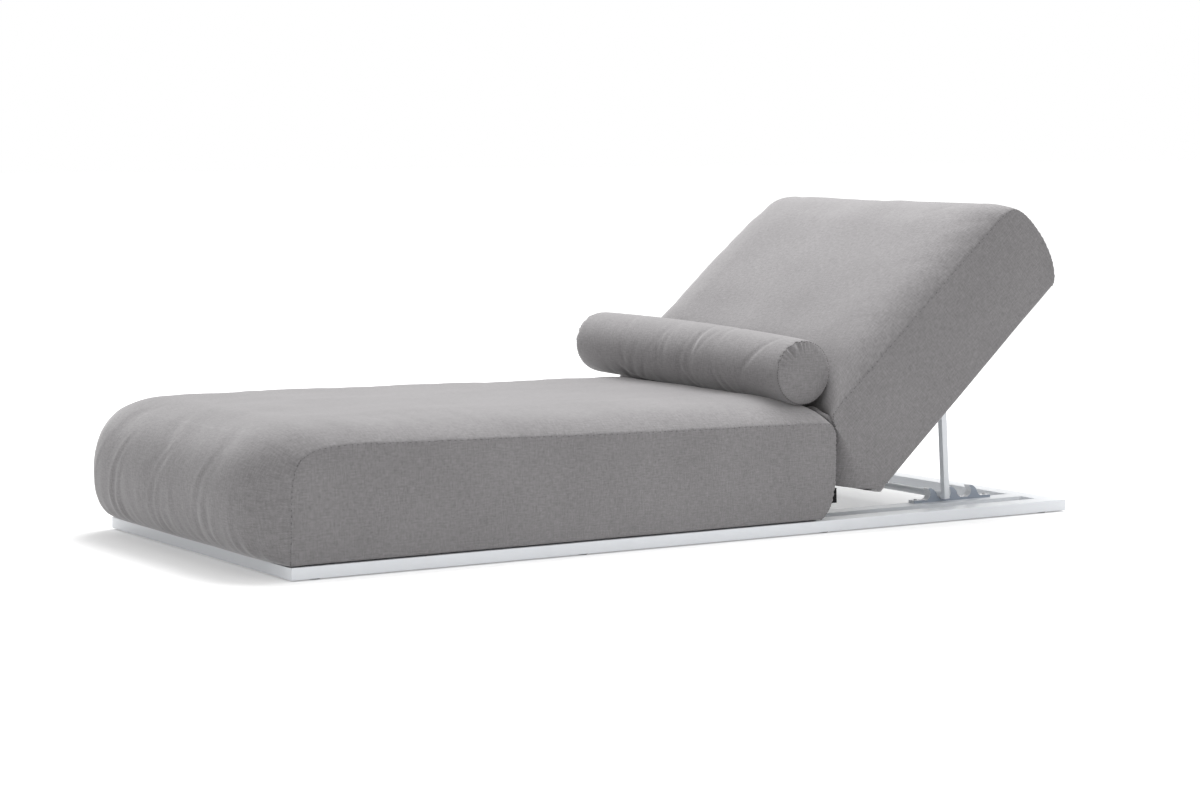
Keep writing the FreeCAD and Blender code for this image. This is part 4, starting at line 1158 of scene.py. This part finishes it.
@dataclass
class BolsterCushion:
    """The loose round bolster: a swelled sleeve gathered onto two end discs.

    The wrinkle spans are those of a wrinkle's slant, length, width and depth. A stray has its size and how
    often it comes round. The pleats rise over the first angles from the top, and fade over the last.
    """

    name: str = "bolster"
    middle: Triple = (-0.025, FOOT_END + 1.2835, 0.3640)
    rise: float = 0.008
    radius: float = 0.0758
    half_length: float = 0.430
    end_radius: float = 0.0705
    dome: float = 0.010
    edge_round: float = 0.013
    belly: float = 0.003
    sag: float = 0.004
    rings: int = 14
    around: int = 120
    along: int = 132
    disc_power: float = 2.6
    wrinkles: int = 40
    wrinkle_run: float = 0.36
    wrinkle_bend: float = 2.0
    wrinkle_front: Pair = (1.0, 2.7)
    front_share: float = 0.6
    wrinkle_spans: tuple[Pair, ...] = ((-0.9, 0.6), (0.03, 0.085), (0.005, 0.012), (-0.0026, 0.0012))
    gathers: int = 46
    gather_stray: Pair = (1.3, 5)
    gather_depth: float = 0.0016
    gather_reach: float = 0.018
    pleat: float = 0.23
    pleat_stray: Pair = (0.08, 7)
    pleat_depth: float = 0.0034
    pleat_angles: tuple[Pair, Pair] = ((-0.45, 0.15), (1.1, 1.7))
    pleat_rest_share: float = 0.25
    pleat_reach_share: float = 0.30
    fill: float = 0.8

    def section(self) -> tuple[np.ndarray, np.ndarray]:
        """The outline that is turned about the axis.

        Returns:
            Places along the axis and radii, from one end's centre to the other's.
        """
        half, r = self.half_length, self.radius
        rings = np.linspace(0.02, 1, self.rings)
        disc_x = -half + self.dome * rings**self.disc_power
        disc_r = self.end_radius * rings
        sleeve = np.linspace(-1, 1, self.along)
        sleeve_x = sleeve * (half - self.dome)
        edge = np.clip((half - self.dome - np.abs(sleeve_x)) / self.edge_round, 0, 1)
        sleeve_r = self.end_radius + (r - self.belly - self.end_radius) * np.sqrt(1 - (1 - edge) ** 2)
        sleeve_r += self.belly * (1 - sleeve**2)
        return (np.concatenate([disc_x, sleeve_x[1:-1], -disc_x[::-1]]),
                np.concatenate([disc_r, sleeve_r[1:-1], disc_r[::-1]]))

    def moves(self, x: np.ndarray, turn: np.ndarray) -> np.ndarray:
        """Wrinkles, end gathers and seam grooves as changes of radius.

        Args:
            x: places along the axis.
            turn: angles about the axis, 0 on top and rising towards the foot of the lounger.

        Returns:
            One change for each place.
        """
        dice = np.random.default_rng(41)
        total = np.zeros(x.shape)
        for _ in range(self.wrinkles):
            at_x = dice.uniform(-self.wrinkle_run, self.wrinkle_run)
            in_front = dice.random() < self.front_share
            at_turn = dice.uniform(*(self.wrinkle_front if in_front else (-math.pi, math.pi)))
            slant, length, width, depth = (dice.uniform(*span) for span in self.wrinkle_spans)
            swing = (turn - at_turn + math.pi) % (2 * math.pi) - math.pi
            arc = swing * self.radius
            aside = (x - at_x) - slant * arc - self.wrinkle_bend * slant * arc**2
            total += depth * np.exp(-(aside / width) ** 2 - (arc / length) ** 2)
        edge = self.half_length - self.dome - np.abs(x)
        stray, often = self.gather_stray
        gathers = 0.5 + 0.5 * np.sin(turn * self.gathers + stray * np.sin(turn * often))
        fade = np.exp(-(np.maximum(edge, 0) / self.gather_reach) ** 2)
        total -= self.gather_depth * gathers * fade * (edge >= 0)
        return total

    def end_gathers(self, turn: np.ndarray, ring: np.ndarray) -> np.ndarray:
        """Draw the short folds below the top seam of the end discs.

        Args:
            turn: angles about the axis.
            ring: shares of the disc's radius.

        Returns:
            How far the disc stands out at each place.
        """
        swing = (turn + math.pi) % (2 * math.pi) - math.pi
        stray, often = self.pleat_stray
        pleats = np.cos((swing + stray * np.sin(often * swing)) * 2 * math.pi / self.pleat)
        first, last = self.pleat_angles
        shown = eased(swing, *first) * (1 - eased(swing, *last)) + self.pleat_rest_share
        return self.pleat_depth * pleats * shown * np.exp(-((1 - ring) / self.pleat_reach_share) ** 2)

    def make(self, finishes: Finishes) -> tuple[Object, np.ndarray]:
        """Build and dress the bolster.

        Args:
            finishes: the lounger's materials.

        Returns:
            The bolster, and its two end seams.
        """
        x, r = self.section()
        turn = np.linspace(0, 2 * math.pi, self.around + 1)
        xs, turns = np.meshgrid(x, turn, indexing="ij")
        rs = np.broadcast_to(r[:, None], xs.shape)
        on_disc = np.abs(xs) > self.half_length - self.dome - 1e-6
        ring = np.clip(rs / self.end_radius, 0, 1)
        radius = rs + np.where(on_disc, 0, self.moves(xs, turns))
        out = np.where(on_disc, self.end_gathers(turns, ring), 0) * np.sign(xs)
        sag = self.sag * (xs / self.half_length) ** 2
        points = np.dstack([xs + out + self.middle[0], -radius * np.sin(turns) + self.middle[1],
                            radius * np.cos(turns) + self.middle[2] - sag
                            - self.rise * xs / self.half_length])
        flat = np.where(on_disc[..., None], np.dstack([rs * np.sin(turns), rs * np.cos(turns)]) + DISC_SHIFT,
                        np.dstack([xs, turns * self.radius]))
        cover = PanelMesh()
        cover.add_grid(points, flat)
        for end in (0, -1):
            tip = points[end].mean(axis=0)
            cap = np.stack([points[end], np.broadcast_to(tip, points[end].shape)])
            cover.add_grid(cap, np.stack([flat[end], np.full(flat[end].shape, DISC_SHIFT)]))
        item = cover.build(self.name)
        subdivided(item)
        finished(item, finishes.fabric, Body.BOLSTER, ("bolster_cover", "bolster_core"))
        return item, np.stack([points[self.rings - 1], points[-self.rings]])


@dataclass
class SewnSeams:
    """Lock stitches that show as short sunk threads along the seams, in a thread darker than the cloth that is
    painted shade for the seam lines.
    """

    spacing: float = 0.0060
    length: float = 0.0054
    thread: float = 0.0019

    def tree(self, material: Material) -> NodeTree:
        """The node tree that sets one stitch after another along a line.

        Args:
            material: the thread's finish.

        Returns:
            A tree with inputs for the spacing, the length and the thread's thickness.
        """
        tree, given = new_tree("sewn_stitches", {"Line": "Geometry", "Spacing": "Float", "Length": "Float",
                                                 "Thread": "Float"}, "Stitches")
        curve = add_node(tree, "GeometryNodeMeshToCurve", inputs={"Mesh": given["Line"]})
        even = add_node(tree, "GeometryNodeResampleCurve", {"mode": "LENGTH"},
                        {"Curve": curve, "Length": given["Spacing"]})
        along = add_node(tree, "GeometryNodeInputTangent")
        turn = add_node(tree, "FunctionNodeAlignRotationToVector", {"axis": "X"}, {"Vector": along})
        ball = add_node(tree, "GeometryNodeMeshIcoSphere", inputs={"Radius": 0.5, "Subdivisions": 1})
        size = add_node(tree, "ShaderNodeCombineXYZ",
                        inputs={"X": given["Length"], "Y": given["Thread"], "Z": given["Thread"]})
        end_tree(tree, {"Points": even, "Instance": ball.outputs["Mesh"], "Rotation": turn,
                        "Scale": size}, material)
        return tree

    def sew(self, name: str, lines: np.ndarray, cover: Object, body: Body,
            finishes: Finishes) -> Object:
        """Sew along seam lines, resting in the cover's groove.

        Args:
            name: the new piece's name.
            lines: one array of points for each seam.
            cover: the cushion that carries the seams.
            body: the body that the cushion rides on.
            finishes: the lounger's materials.

        Returns:
            The stitches as one mesh.
        """
        tree = nearest_in(vertex_array(cover.data))
        mesh = bpy.data.meshes.new(name)
        points: list[Vector] = []
        edges: list[tuple[int, int]] = []
        for line in lines:
            start = len(points)
            points += [tree.find(point)[0] for point in line]
            edges += [(i, i + 1) for i in range(start, len(points) - 1)]
        mesh.from_pydata(points, edges, [])
        item = linked(name, mesh)
        grown(item, self.tree(finishes.thread),
              {"Spacing": self.spacing, "Length": self.length, "Thread": self.thread})
        return finished(item, finishes.thread, body)


@dataclass
class LabelTab:
    """The blank ribbon tab folded into the rear edge of the seat."""

    name: str = "blank_tab"
    thickness: float = 0.0012
    proud: float = 0.0045
    root: float = 0.002
    wall: float = 0.0005
    wave: Pair = (0.0007, 40.0)
    rows: int = 12
    fold_rows: int = 9

    def make(self, finishes: Finishes) -> Object:
        """Fold a short ribbon where the tab's solid stands.

        Args:
            finishes: the lounger's materials.

        Returns:
            The tab.
        """
        low, high = (np.array(corner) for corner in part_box("label_tab"))
        rows = np.linspace(low[2], high[2], self.rows)
        fold = np.linspace(0, math.pi, self.fold_rows)
        depth = high[1] - low[1] + self.proud
        half = depth * 0.5
        reach = np.concatenate([[0.0, half], depth - self.thickness * (1 - np.sin(fold)), [half, 0.0]])
        aside = np.concatenate([[-1, -1], -np.cos(fold), [1, 1]]) * self.thickness
        middle = (low[0] + high[0]) / 2
        size, often = self.wave
        points = np.array([[(middle + a, low[1] - self.root + r + size * math.sin(often * z), z)
                            for r, a in zip(reach, aside)] for z in rows])
        ribbon = PanelMesh()
        ribbon.add_grid(points, points[..., 1:])
        item = ribbon.build(self.name)
        wall = item.modifiers.new("wall", "SOLIDIFY")
        wall.thickness = self.wall
        applied(item)
        return finished(item, finishes.tab, Body.BASE, ("label_tab",))


@dataclass
class CreaseGusset:
    """The cloth web between seat and back, which closes the crease and folds up as the back lies down.

    The lines give the heights of the web's upper and lower corners at the seat, and on the back as it lies
    flat. A pleat has its end's (y, z), with y from the foot end, its radius and a seed. The ripple has a size
    and its turns across and down, and the unevenness of a pleat a share of its radius and a move.
    """

    back: BackCushion
    name: str = "crease_gusset"
    half_width: float = 0.4504
    tuck: float = 0.046
    tuck_top_share: float = 0.6
    tuck_power: float = 1.7
    seat_bow: float = 0.0015
    sag: float = 0.004
    ripple: Triple = (0.0010, 9.0, 3.0)
    lap: float = 0.0145
    under: float = 0.013
    under_ease: Pair = (0.001, 0.012)
    under_from_share: float = 0.4
    rows: int = 44
    columns: int = 30
    floor_rows: int = 61
    crown: float = 0.021
    crown_power: int = 10
    seat_end: float = FOOT_END + 1.3335
    back_gap: float = 0.0085
    lap_share: float = 0.14
    hinge_room: float = 0.011
    hinge_ease: float = 0.06
    kept: float = 0.07
    pleat_rows: int = 121
    pleat_turns: int = 15
    pleat_inset: float = 0.001
    pleat_uneven: Pair = (0.12, 0.0012)
    pleat_wave: float = 0.09
    pleat_tuck: Pair = (0.006, 0.016)
    pleat_tuck_share: float = 0.93
    pleat_end_power: int = 40
    pleat_flat_share: float = 0.8
    pleats: tuple[tuple[Pair, float, int], ...] = (
        ((1.3315, 0.2440), 0.0088, 3), ((1.3395, 0.2370), 0.0066, 8))
    slit: Pair = (0.178, 0.262)
    seat_line: Pair = (0.236, 0.104)
    back_line: Pair = (0.232, 0.0375)

    def web(self, sign: float) -> np.ndarray:
        """The cloth of one side, from the seat's rear edge to a lap over the back's side.

        Args:
            sign: 1 for the +X side, -1 for the other.

        Returns:
            Rows from the crease down, columns from the seat to the back.
        """
        t = np.linspace(0, 1, self.rows)[:, None]
        s = np.linspace(0, 1, self.columns)[None, :]
        sewn = 1 - self.lap_share
        across = np.clip(s / sewn, 0, 1)
        over = np.clip((s - sewn) / self.lap_share, 0, 1)
        low, high = self.seat_line, self.back_line
        reach = HINGE[1] + self.back_gap + over * self.lap
        end = self.back.placed(np.dstack(np.broadcast_arrays(0.0, reach, high[0] + (high[1] - high[0]) * t)))
        seat_y = self.seat_end + self.seat_bow * np.sin(math.pi * t)
        seat_z = low[0] + (low[1] - low[0]) * t
        y = seat_y * (1 - across) + end[..., 1] * across
        z = seat_z * (1 - across) + end[..., 2] * across - self.sag * np.sin(math.pi * across) * t**4
        x = self.half_width - self.tuck * (self.tuck_top_share + t) * (1 - across) ** self.tuck_power
        size, aside, down = self.ripple
        shown = np.sin(math.pi * across) * eased(1 - t, 0.0, 0.5)
        folds = size * np.sin(aside * across + down * t) * shown
        return np.dstack([sign * (x + folds), y, z])

    def floor(self, near: np.ndarray, far: np.ndarray) -> np.ndarray:
        """Close the web below, behind the hinge leaves and under the back's tubes.

        Args:
            near: the lower edge of one side.
            far: the lower edge of the other.

        Returns:
            Rows from one side to the other, columns from the seat to the back.
        """
        share = np.linspace(0, 1, self.floor_rows)[:, None, None]
        panel = near[None] * (1 - share) + far[None] * share
        aside = np.abs(panel[..., 0])
        to_back = np.linspace(0, 1, panel.shape[1])[None, :]
        inward = eased(np.abs(near[0, 0]) - aside, 0.0, self.hinge_ease)
        panel[..., 1] += self.hinge_room * inward * (1 - to_back) ** 2
        hinge, below = self.back.placed(np.array([[[0.0, 0.0, 0.0], [0.0, 0.0, -1.0]]]))[0]
        tucked = eased(to_back, self.under_from_share, 1 - self.lap_share)
        drop = self.under * eased(self.half_width - aside, *self.under_ease) * tucked
        return panel + drop[..., None] * (below - hinge)

    def fold(self, end: Pair, radius: float, seed: int) -> np.ndarray:
        """One soft pleat that fills the crease, with its ends tucked down at the sides.

        Args:
            end: the pleat's (y, z) near the sides, y from the foot end; between, it rises with the crown.
            radius: its thickness at its fullest.
            seed: which unevenness it gets.

        Returns:
            Rings of points from one end to the other.
        """
        along = np.linspace(-1, 1, self.pleat_rows)
        turn = np.linspace(0, 2 * math.pi, self.pleat_turns)
        tucked = eased(np.abs(along), self.pleat_tuck_share, 1.0)
        uneven = rippled(along[:, None] * self.back.half_width, self.pleat_wave, seed)
        share, stray = self.pleat_uneven
        closed = np.sqrt(np.clip(1 - np.abs(along) ** self.pleat_end_power, 0, 1))
        thick = (radius * (1 + share * uneven) * closed)[:, None]
        x = along * (self.half_width - self.pleat_inset)
        y = FOOT_END + end[0] + stray * np.roll(uneven, 9) + self.pleat_tuck[0] * tucked
        crowned = self.crown * (1 - np.abs(along) ** self.crown_power)
        z = end[1] + stray * uneven - self.pleat_tuck[1] * tucked + crowned
        return np.dstack([np.broadcast_to(x[:, None], (len(x), len(turn))), y[:, None] + thick * np.cos(turn),
                          z[:, None] + self.pleat_flat_share * thick * np.sin(turn)])

    def make(self, finishes: Finishes) -> Object:
        """Sew the web, its floor and its pleats, and set it on the base.

        Args:
            finishes: the lounger's materials.

        Returns:
            The gusset.
        """
        cloth = PanelMesh()
        sides = [self.web(sign) for sign in (1.0, -1.0)]
        for panel in sides:
            cloth.add_grid(panel, panel[..., 1:] + WEB_SHIFT)
        floor = self.floor(sides[0][-1], sides[1][-1])
        # The floor is open at each hinge, so that the leaves pass through it
        inner, outer = self.slit
        at_seat, at_back = floor[:, 0, 0], floor[:, -1, 0]
        for strip in (at_seat > outer, np.abs(at_back) < inner, at_seat < -outer):
            cloth.add_grid(floor[strip], floor[strip][..., :2] + FLOOR_SHIFT)
        for end, radius, seed in self.pleats:
            pleat = self.fold(end, radius, seed)
            cloth.add_grid(pleat, pleat[..., :2] + PLEAT_SHIFT)
        item = cloth.build(self.name)
        finished(item, finishes.fabric, Body.BASE)
        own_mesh(item)
        return item


@dataclass
class Fasteners:
    """Pan-head socket screws and low rivets, set where the solids' fasteners stand."""

    nodes: dict[Body, dict[str, float]] = field(default_factory=lambda: {
        Body.BASE: {"rack_screws": 0.0026, "seat_leaf_screws": 0.0026, "seat_deck_rivets": 0.0012},
        Body.BACK: {"back_leaf_screws": 0.0026, "back_deck_rivets": 0.0012}})
    corners: int = 14
    shoulder: float = 0.40
    socket: float = 0.24
    end_depth: float = 0.0004

    def islands(self, name: str) -> list[np.ndarray]:
        """Take a node's fasteners apart.

        Args:
            name: the node.

        Returns:
            The places of each fastener's vertices.
        """
        form = bmesh.new()
        form.from_mesh(frame["nodes"][name].data)
        bmesh.ops.remove_doubles(form, verts=form.verts, dist=SOLID_GAP)
        left = set(form.verts)
        found = []
        while left:
            group, edge = [], [left.pop()]
            while edge:
                vertex = edge.pop()
                group.append(tuple(vertex.co))
                new = {link.other_vert(vertex) for link in vertex.link_edges} & left
                left -= new
                edge += new
            found.append(np.array(group))
        form.free()
        return found

    def seat(self, places: np.ndarray, turn: np.ndarray) -> tuple[np.ndarray, np.ndarray, float]:
        """Where a fastener's head ends, which way it faces and how wide it is.

        Args:
            places: the fastener's vertices.
            turn: rows are the directions that its body's fasteners are square to.

        Returns:
            The head's outer middle, its outward direction and its diameter.
        """
        local = places @ turn.T
        low, high = local.min(axis=0), local.max(axis=0)
        size, middle = high - low, (low + high) / 2
        axis = min(range(3), key=lambda i: abs(size[i - 1] - size[i - 2]))
        aside = np.linalg.norm(np.delete(local - middle, axis, axis=1), axis=1)
        ends = [aside[np.abs(local[:, axis] - limit) < self.end_depth].max()
                for limit in (low[axis], high[axis])]
        sign = 1.0 if ends[1] >= ends[0] else -1.0
        middle[axis] = high[axis] if sign > 0 else low[axis]
        return middle @ turn, turn[axis] * sign, 2 * max(ends)

    def tree(self, material: Material) -> NodeTree:
        """The node tree that turns one head shape and sets it on every point.

        Args:
            material: the metal's finish.

        Returns:
            A tree with inputs for the head's corners, its shoulder and its socket.
        """
        tree, given = new_tree("socket_heads", {"Points": "Geometry", "Corners": "Int", "Shoulder": "Float",
                                                "Socket": "Float"}, "Heads")
        head = add_node(tree, "GeometryNodeJoinGeometry")
        rings = ((0.5, 0.5, 0.0, 0.55, False), (0.5, given["Shoulder"], 0.55, 0.45, False),
                 (given["Shoulder"], given["Socket"], 1.0, 0.001, False),
                 (given["Socket"], given["Socket"], 0.35, 0.65, True),
                 (given["Socket"], 0.0, 0.35, 0.001, False))
        for low, high, start, tall, inward in rings:
            ring = add_node(tree, "GeometryNodeMeshCone", {"fill_type": "NONE"}, {
                "Vertices": given["Corners"], "Radius Bottom": low, "Radius Top": high, "Depth": tall})
            part = add_node(tree, "GeometryNodeTransform",
                            inputs={"Geometry": ring.outputs["Mesh"], "Translation": (0.0, 0.0, start - 1.0)})
            if inward:
                part = add_node(tree, "GeometryNodeFlipFaces", inputs={"Mesh": part})
            tree.links.new(part.outputs[0], head.inputs[0])
        size, way = (add_node(tree, "GeometryNodeInputNamedAttribute", {"data_type": "FLOAT_VECTOR"},
                              {"Name": name}) for name in ("size", "way"))
        turn = add_node(tree, "FunctionNodeAlignRotationToVector", {"axis": "Z"}, {"Vector": way})
        end_tree(tree, {"Points": given["Points"], "Instance": head, "Rotation": turn,
                        "Scale": size}, material)
        return tree

    def make(self, finishes: Finishes, back: BackCushion) -> None:
        """Set the heads of each body as one mesh.

        Args:
            finishes: the lounger's materials.
            back: gives the tilt of the back's own directions.
        """
        group = self.tree(finishes.steel)
        tilt = np.array([[1, 0, 0], [0, math.cos(back.recline), math.sin(back.recline)],
                         [0, -math.sin(back.recline), math.cos(back.recline)]])
        for body, talls in self.nodes.items():
            turn = tilt if body is Body.BACK else np.eye(3)
            seats = [(*self.seat(island, turn), tall) for name, tall in talls.items()
                     for island in self.islands(name)]
            mesh = bpy.data.meshes.new(f"{body.value}_fasteners")
            mesh.from_pydata([tuple(place) for place, _, _, _ in seats], [], [])
            for name, rows in (("way", [way for _, way, _, _ in seats]),
                               ("size", [(wide, wide, tall) for _, _, wide, tall in seats])):
                layer = mesh.attributes.new(name, "FLOAT_VECTOR", "POINT")
                layer.data.foreach_set("vector", np.array(rows, dtype=np.float32).ravel())
            item = linked(mesh.name, mesh)
            grown(item, group, {"Corners": self.corners, "Shoulder": self.shoulder, "Socket": self.socket})
            finished(item, finishes.steel, body, tuple(talls), smooth=False)


@dataclass
class FrameDressing:
    """Gives every rigid solid its finish, and coated tubes, racks and legs their small rounded edges."""

    edge: float = 0.0011
    sharp: float = math.radians(40)
    level: float = math.radians(0.5)
    segments: int = 2
    rounded: tuple[str, ...] = ("rail", "rack_", "prop_leg", "prop_lug")

    def softened(self, name: str, source: Object) -> Object:
        """A copy of a solid with rounded edges.

        Args:
            name: the solid's node.
            source: the solid's own object, which stays as it is.

        Returns:
            The copy, in the same place.
        """
        mesh = source.data.copy()
        form = bmesh.new()
        form.from_mesh(mesh)
        bmesh.ops.remove_doubles(form, verts=form.verts, dist=SOLID_GAP)
        bmesh.ops.dissolve_limit(form, angle_limit=self.level, verts=form.verts, edges=form.edges)
        form.to_mesh(mesh)
        form.free()
        item = linked(f"{name}_coated", mesh)
        edge = item.modifiers.new("edge", "BEVEL")
        edge.width = self.edge
        edge.segments = self.segments
        edge.limit_method = "ANGLE"
        edge.angle_limit = self.sharp
        edge.harden_normals = True
        applied(item)
        return item

    def dress(self, finishes: Finishes) -> None:
        """Paint and soften all the solids that stay in view.

        Args:
            finishes: the lounger's materials.
        """
        slots = {part["node"]: Slot(part["material_slot"]) for part in frame["record"]["subparts"]}
        moving = frame["record"]["behaviour"]["bodies"]
        bodies = {node: Body(body) for body, nodes in moving.items() for node in nodes}
        for name, item in frame["nodes"].items():
            if item.hide_render or slots[name] in (Slot.FABRIC, Slot.FILLING, Slot.TAB):
                continue
            material = finishes.for_slot(slots[name])
            item.data.materials.clear()
            item.data.materials.append(material)
            if any(word in name for word in self.rounded):
                finished(self.softened(name, item), material, bodies[name], (name,),
                         smooth=False)
            LOG.info("%s: %s", name, material.name)


@dataclass
class Studio:
    """A plain pale floor, soft light from above, and the camera at the photograph's angle."""

    camera_place: Triple = (5.6865, FOOT_END - 2.5689, 0.9144)
    yaw: float = math.radians(147.876)
    pitch: float = math.radians(-5.443)
    lens: float = 89.13
    sensor: float = 36.0
    sight: float = 200.0
    ambient: float = 0.68
    key_watts: float = 168.0
    key_size: float = 2.6
    key_place: Triple = (-0.5, 0.8, 3.8)
    key_aim: Triple = (0.0, 0.1, 0.2)
    floor_half: float = 40.0
    floor_colour: str = "#f4f4f4"
    floor_lift: Pair = (0.26, 0.55)
    floor_reach: Pair = (1.6, 4.0)

    def seen(self, tree: NodeTree) -> Node:
        """Tell what is looked at from what only lights.

        Args:
            tree: the tree that gets the nodes.

        Returns:
            A node that gives 1 where the camera, a gloss or a clear piece looks, and 0 elsewhere.
        """
        ray = add_node(tree, "ShaderNodeLightPath")
        seen = add_node(tree, "ShaderNodeMath", {"operation": "MAXIMUM"},
                        {0: ray.outputs["Is Camera Ray"], 1: ray.outputs["Is Glossy Ray"]})
        seen = add_node(tree, "ShaderNodeMath", {"operation": "MAXIMUM"},
                        {0: seen, 1: ray.outputs["Is Transmission Ray"]})
        return seen

    def floor(self) -> None:
        """A wide pale floor that keeps the lounger's shadow and looks white to the camera."""
        mesh = bpy.data.meshes.new("floor")
        far = self.floor_half
        mesh.from_pydata([(-far, -far, 0), (far, -far, 0), (far, far, 0), (-far, far, 0)], [], [(0, 1, 2, 3)])
        item = linked("floor", mesh)
        material, tree, place = new_material("matt_white_floor")
        seen = self.seen(tree)
        away = add_node(tree, "ShaderNodeVectorMath", {"operation": "LENGTH"}, {0: place})
        level = add_node(tree, "ShaderNodeMapRange", {}, {
            "Value": away.outputs["Value"], "From Min": self.floor_reach[0], "From Max": self.floor_reach[1],
            "To Min": self.floor_lift[0], "To Max": self.floor_lift[1]})
        lift = add_node(tree, "ShaderNodeMath", {"operation": "MULTIPLY"},
                        {0: seen, 1: level})
        paint = add_node(tree, "ShaderNodeBsdfDiffuse", inputs={"Color": linear(self.floor_colour)})
        glow = add_node(tree, "ShaderNodeEmission", inputs={"Strength": lift})
        both = add_node(tree, "ShaderNodeAddShader", inputs={0: paint, 1: glow})
        add_node(tree, "ShaderNodeOutputMaterial", inputs={"Surface": both})
        mesh.materials.append(material)

    def world(self) -> None:
        """Even white light all round, which the camera sees as a white background."""
        world = bpy.data.worlds.new("studio")
        bpy.context.scene.world = world
        world.use_nodes = True
        tree = world.node_tree
        tree.nodes.clear()
        seen = self.seen(tree)
        strength = add_node(tree, "ShaderNodeMapRange", {},
                            {"Value": seen, "To Min": self.ambient, "To Max": 1.0})
        glow = add_node(tree, "ShaderNodeBackground",
                        inputs={"Color": linear("#ffffff"), "Strength": strength})
        add_node(tree, "ShaderNodeOutputWorld", inputs={"Surface": glow})

    def lamp(self) -> None:
        """One large soft lamp overhead."""
        light = bpy.data.lights.new("overhead", "AREA")
        light.shape = "SQUARE"
        light.size = self.key_size
        light.energy = self.key_watts
        item = linked("overhead", light)
        item.location = self.key_place
        aim = Vector(self.key_aim) - Vector(self.key_place)
        item.rotation_euler = aim.to_track_quat("-Z", "Y").to_euler()

    def camera(self) -> None:
        """The camera that took the photograph, as fitted to the frame's corners."""
        lens = bpy.data.cameras.new("camera")
        lens.sensor_fit = "HORIZONTAL"
        lens.sensor_width = self.sensor
        lens.lens = self.lens
        lens.clip_end = self.sight
        item = linked("camera", lens)
        item.location = self.camera_place
        look = Vector((math.cos(self.pitch) * math.cos(self.yaw), math.cos(self.pitch) * math.sin(self.yaw),
                       math.sin(self.pitch)))
        item.rotation_euler = look.to_track_quat("-Z", "Y").to_euler()
        bpy.context.scene.camera = item

    def build(self) -> None:
        """Set up the floor, the light and the camera."""
        self.floor()
        self.world()
        self.lamp()
        self.camera()
        bpy.context.scene.view_settings.view_transform = "Standard"


def main() -> None:
    """Build every sub-assembly in order."""
    logging.basicConfig(level=logging.INFO, format="%(name)s %(message)s")
    finishes = Finishes.make()
    settling = ClothSettling()
    stitches = SewnSeams()
    back = BackCushion()
    for cushion in (SeatCushion(), back):
        cover, seams = cushion.make(finishes, settling)
        # The stitches' dark thread paints the seams' shade
        stitches.sew(f"{cushion.name}_stitches", seams, cover, cushion.body, finishes)
    cover, seams = BolsterCushion().make(finishes)
    stitches.sew("bolster_stitches", seams, cover, Body.BOLSTER, finishes)
    CreaseGusset(back).make(finishes)
    LabelTab().make(finishes)
    Fasteners().make(finishes, back)
    FrameDressing().dress(finishes)
    Studio().build()


if __name__ == "__main__":
    main()
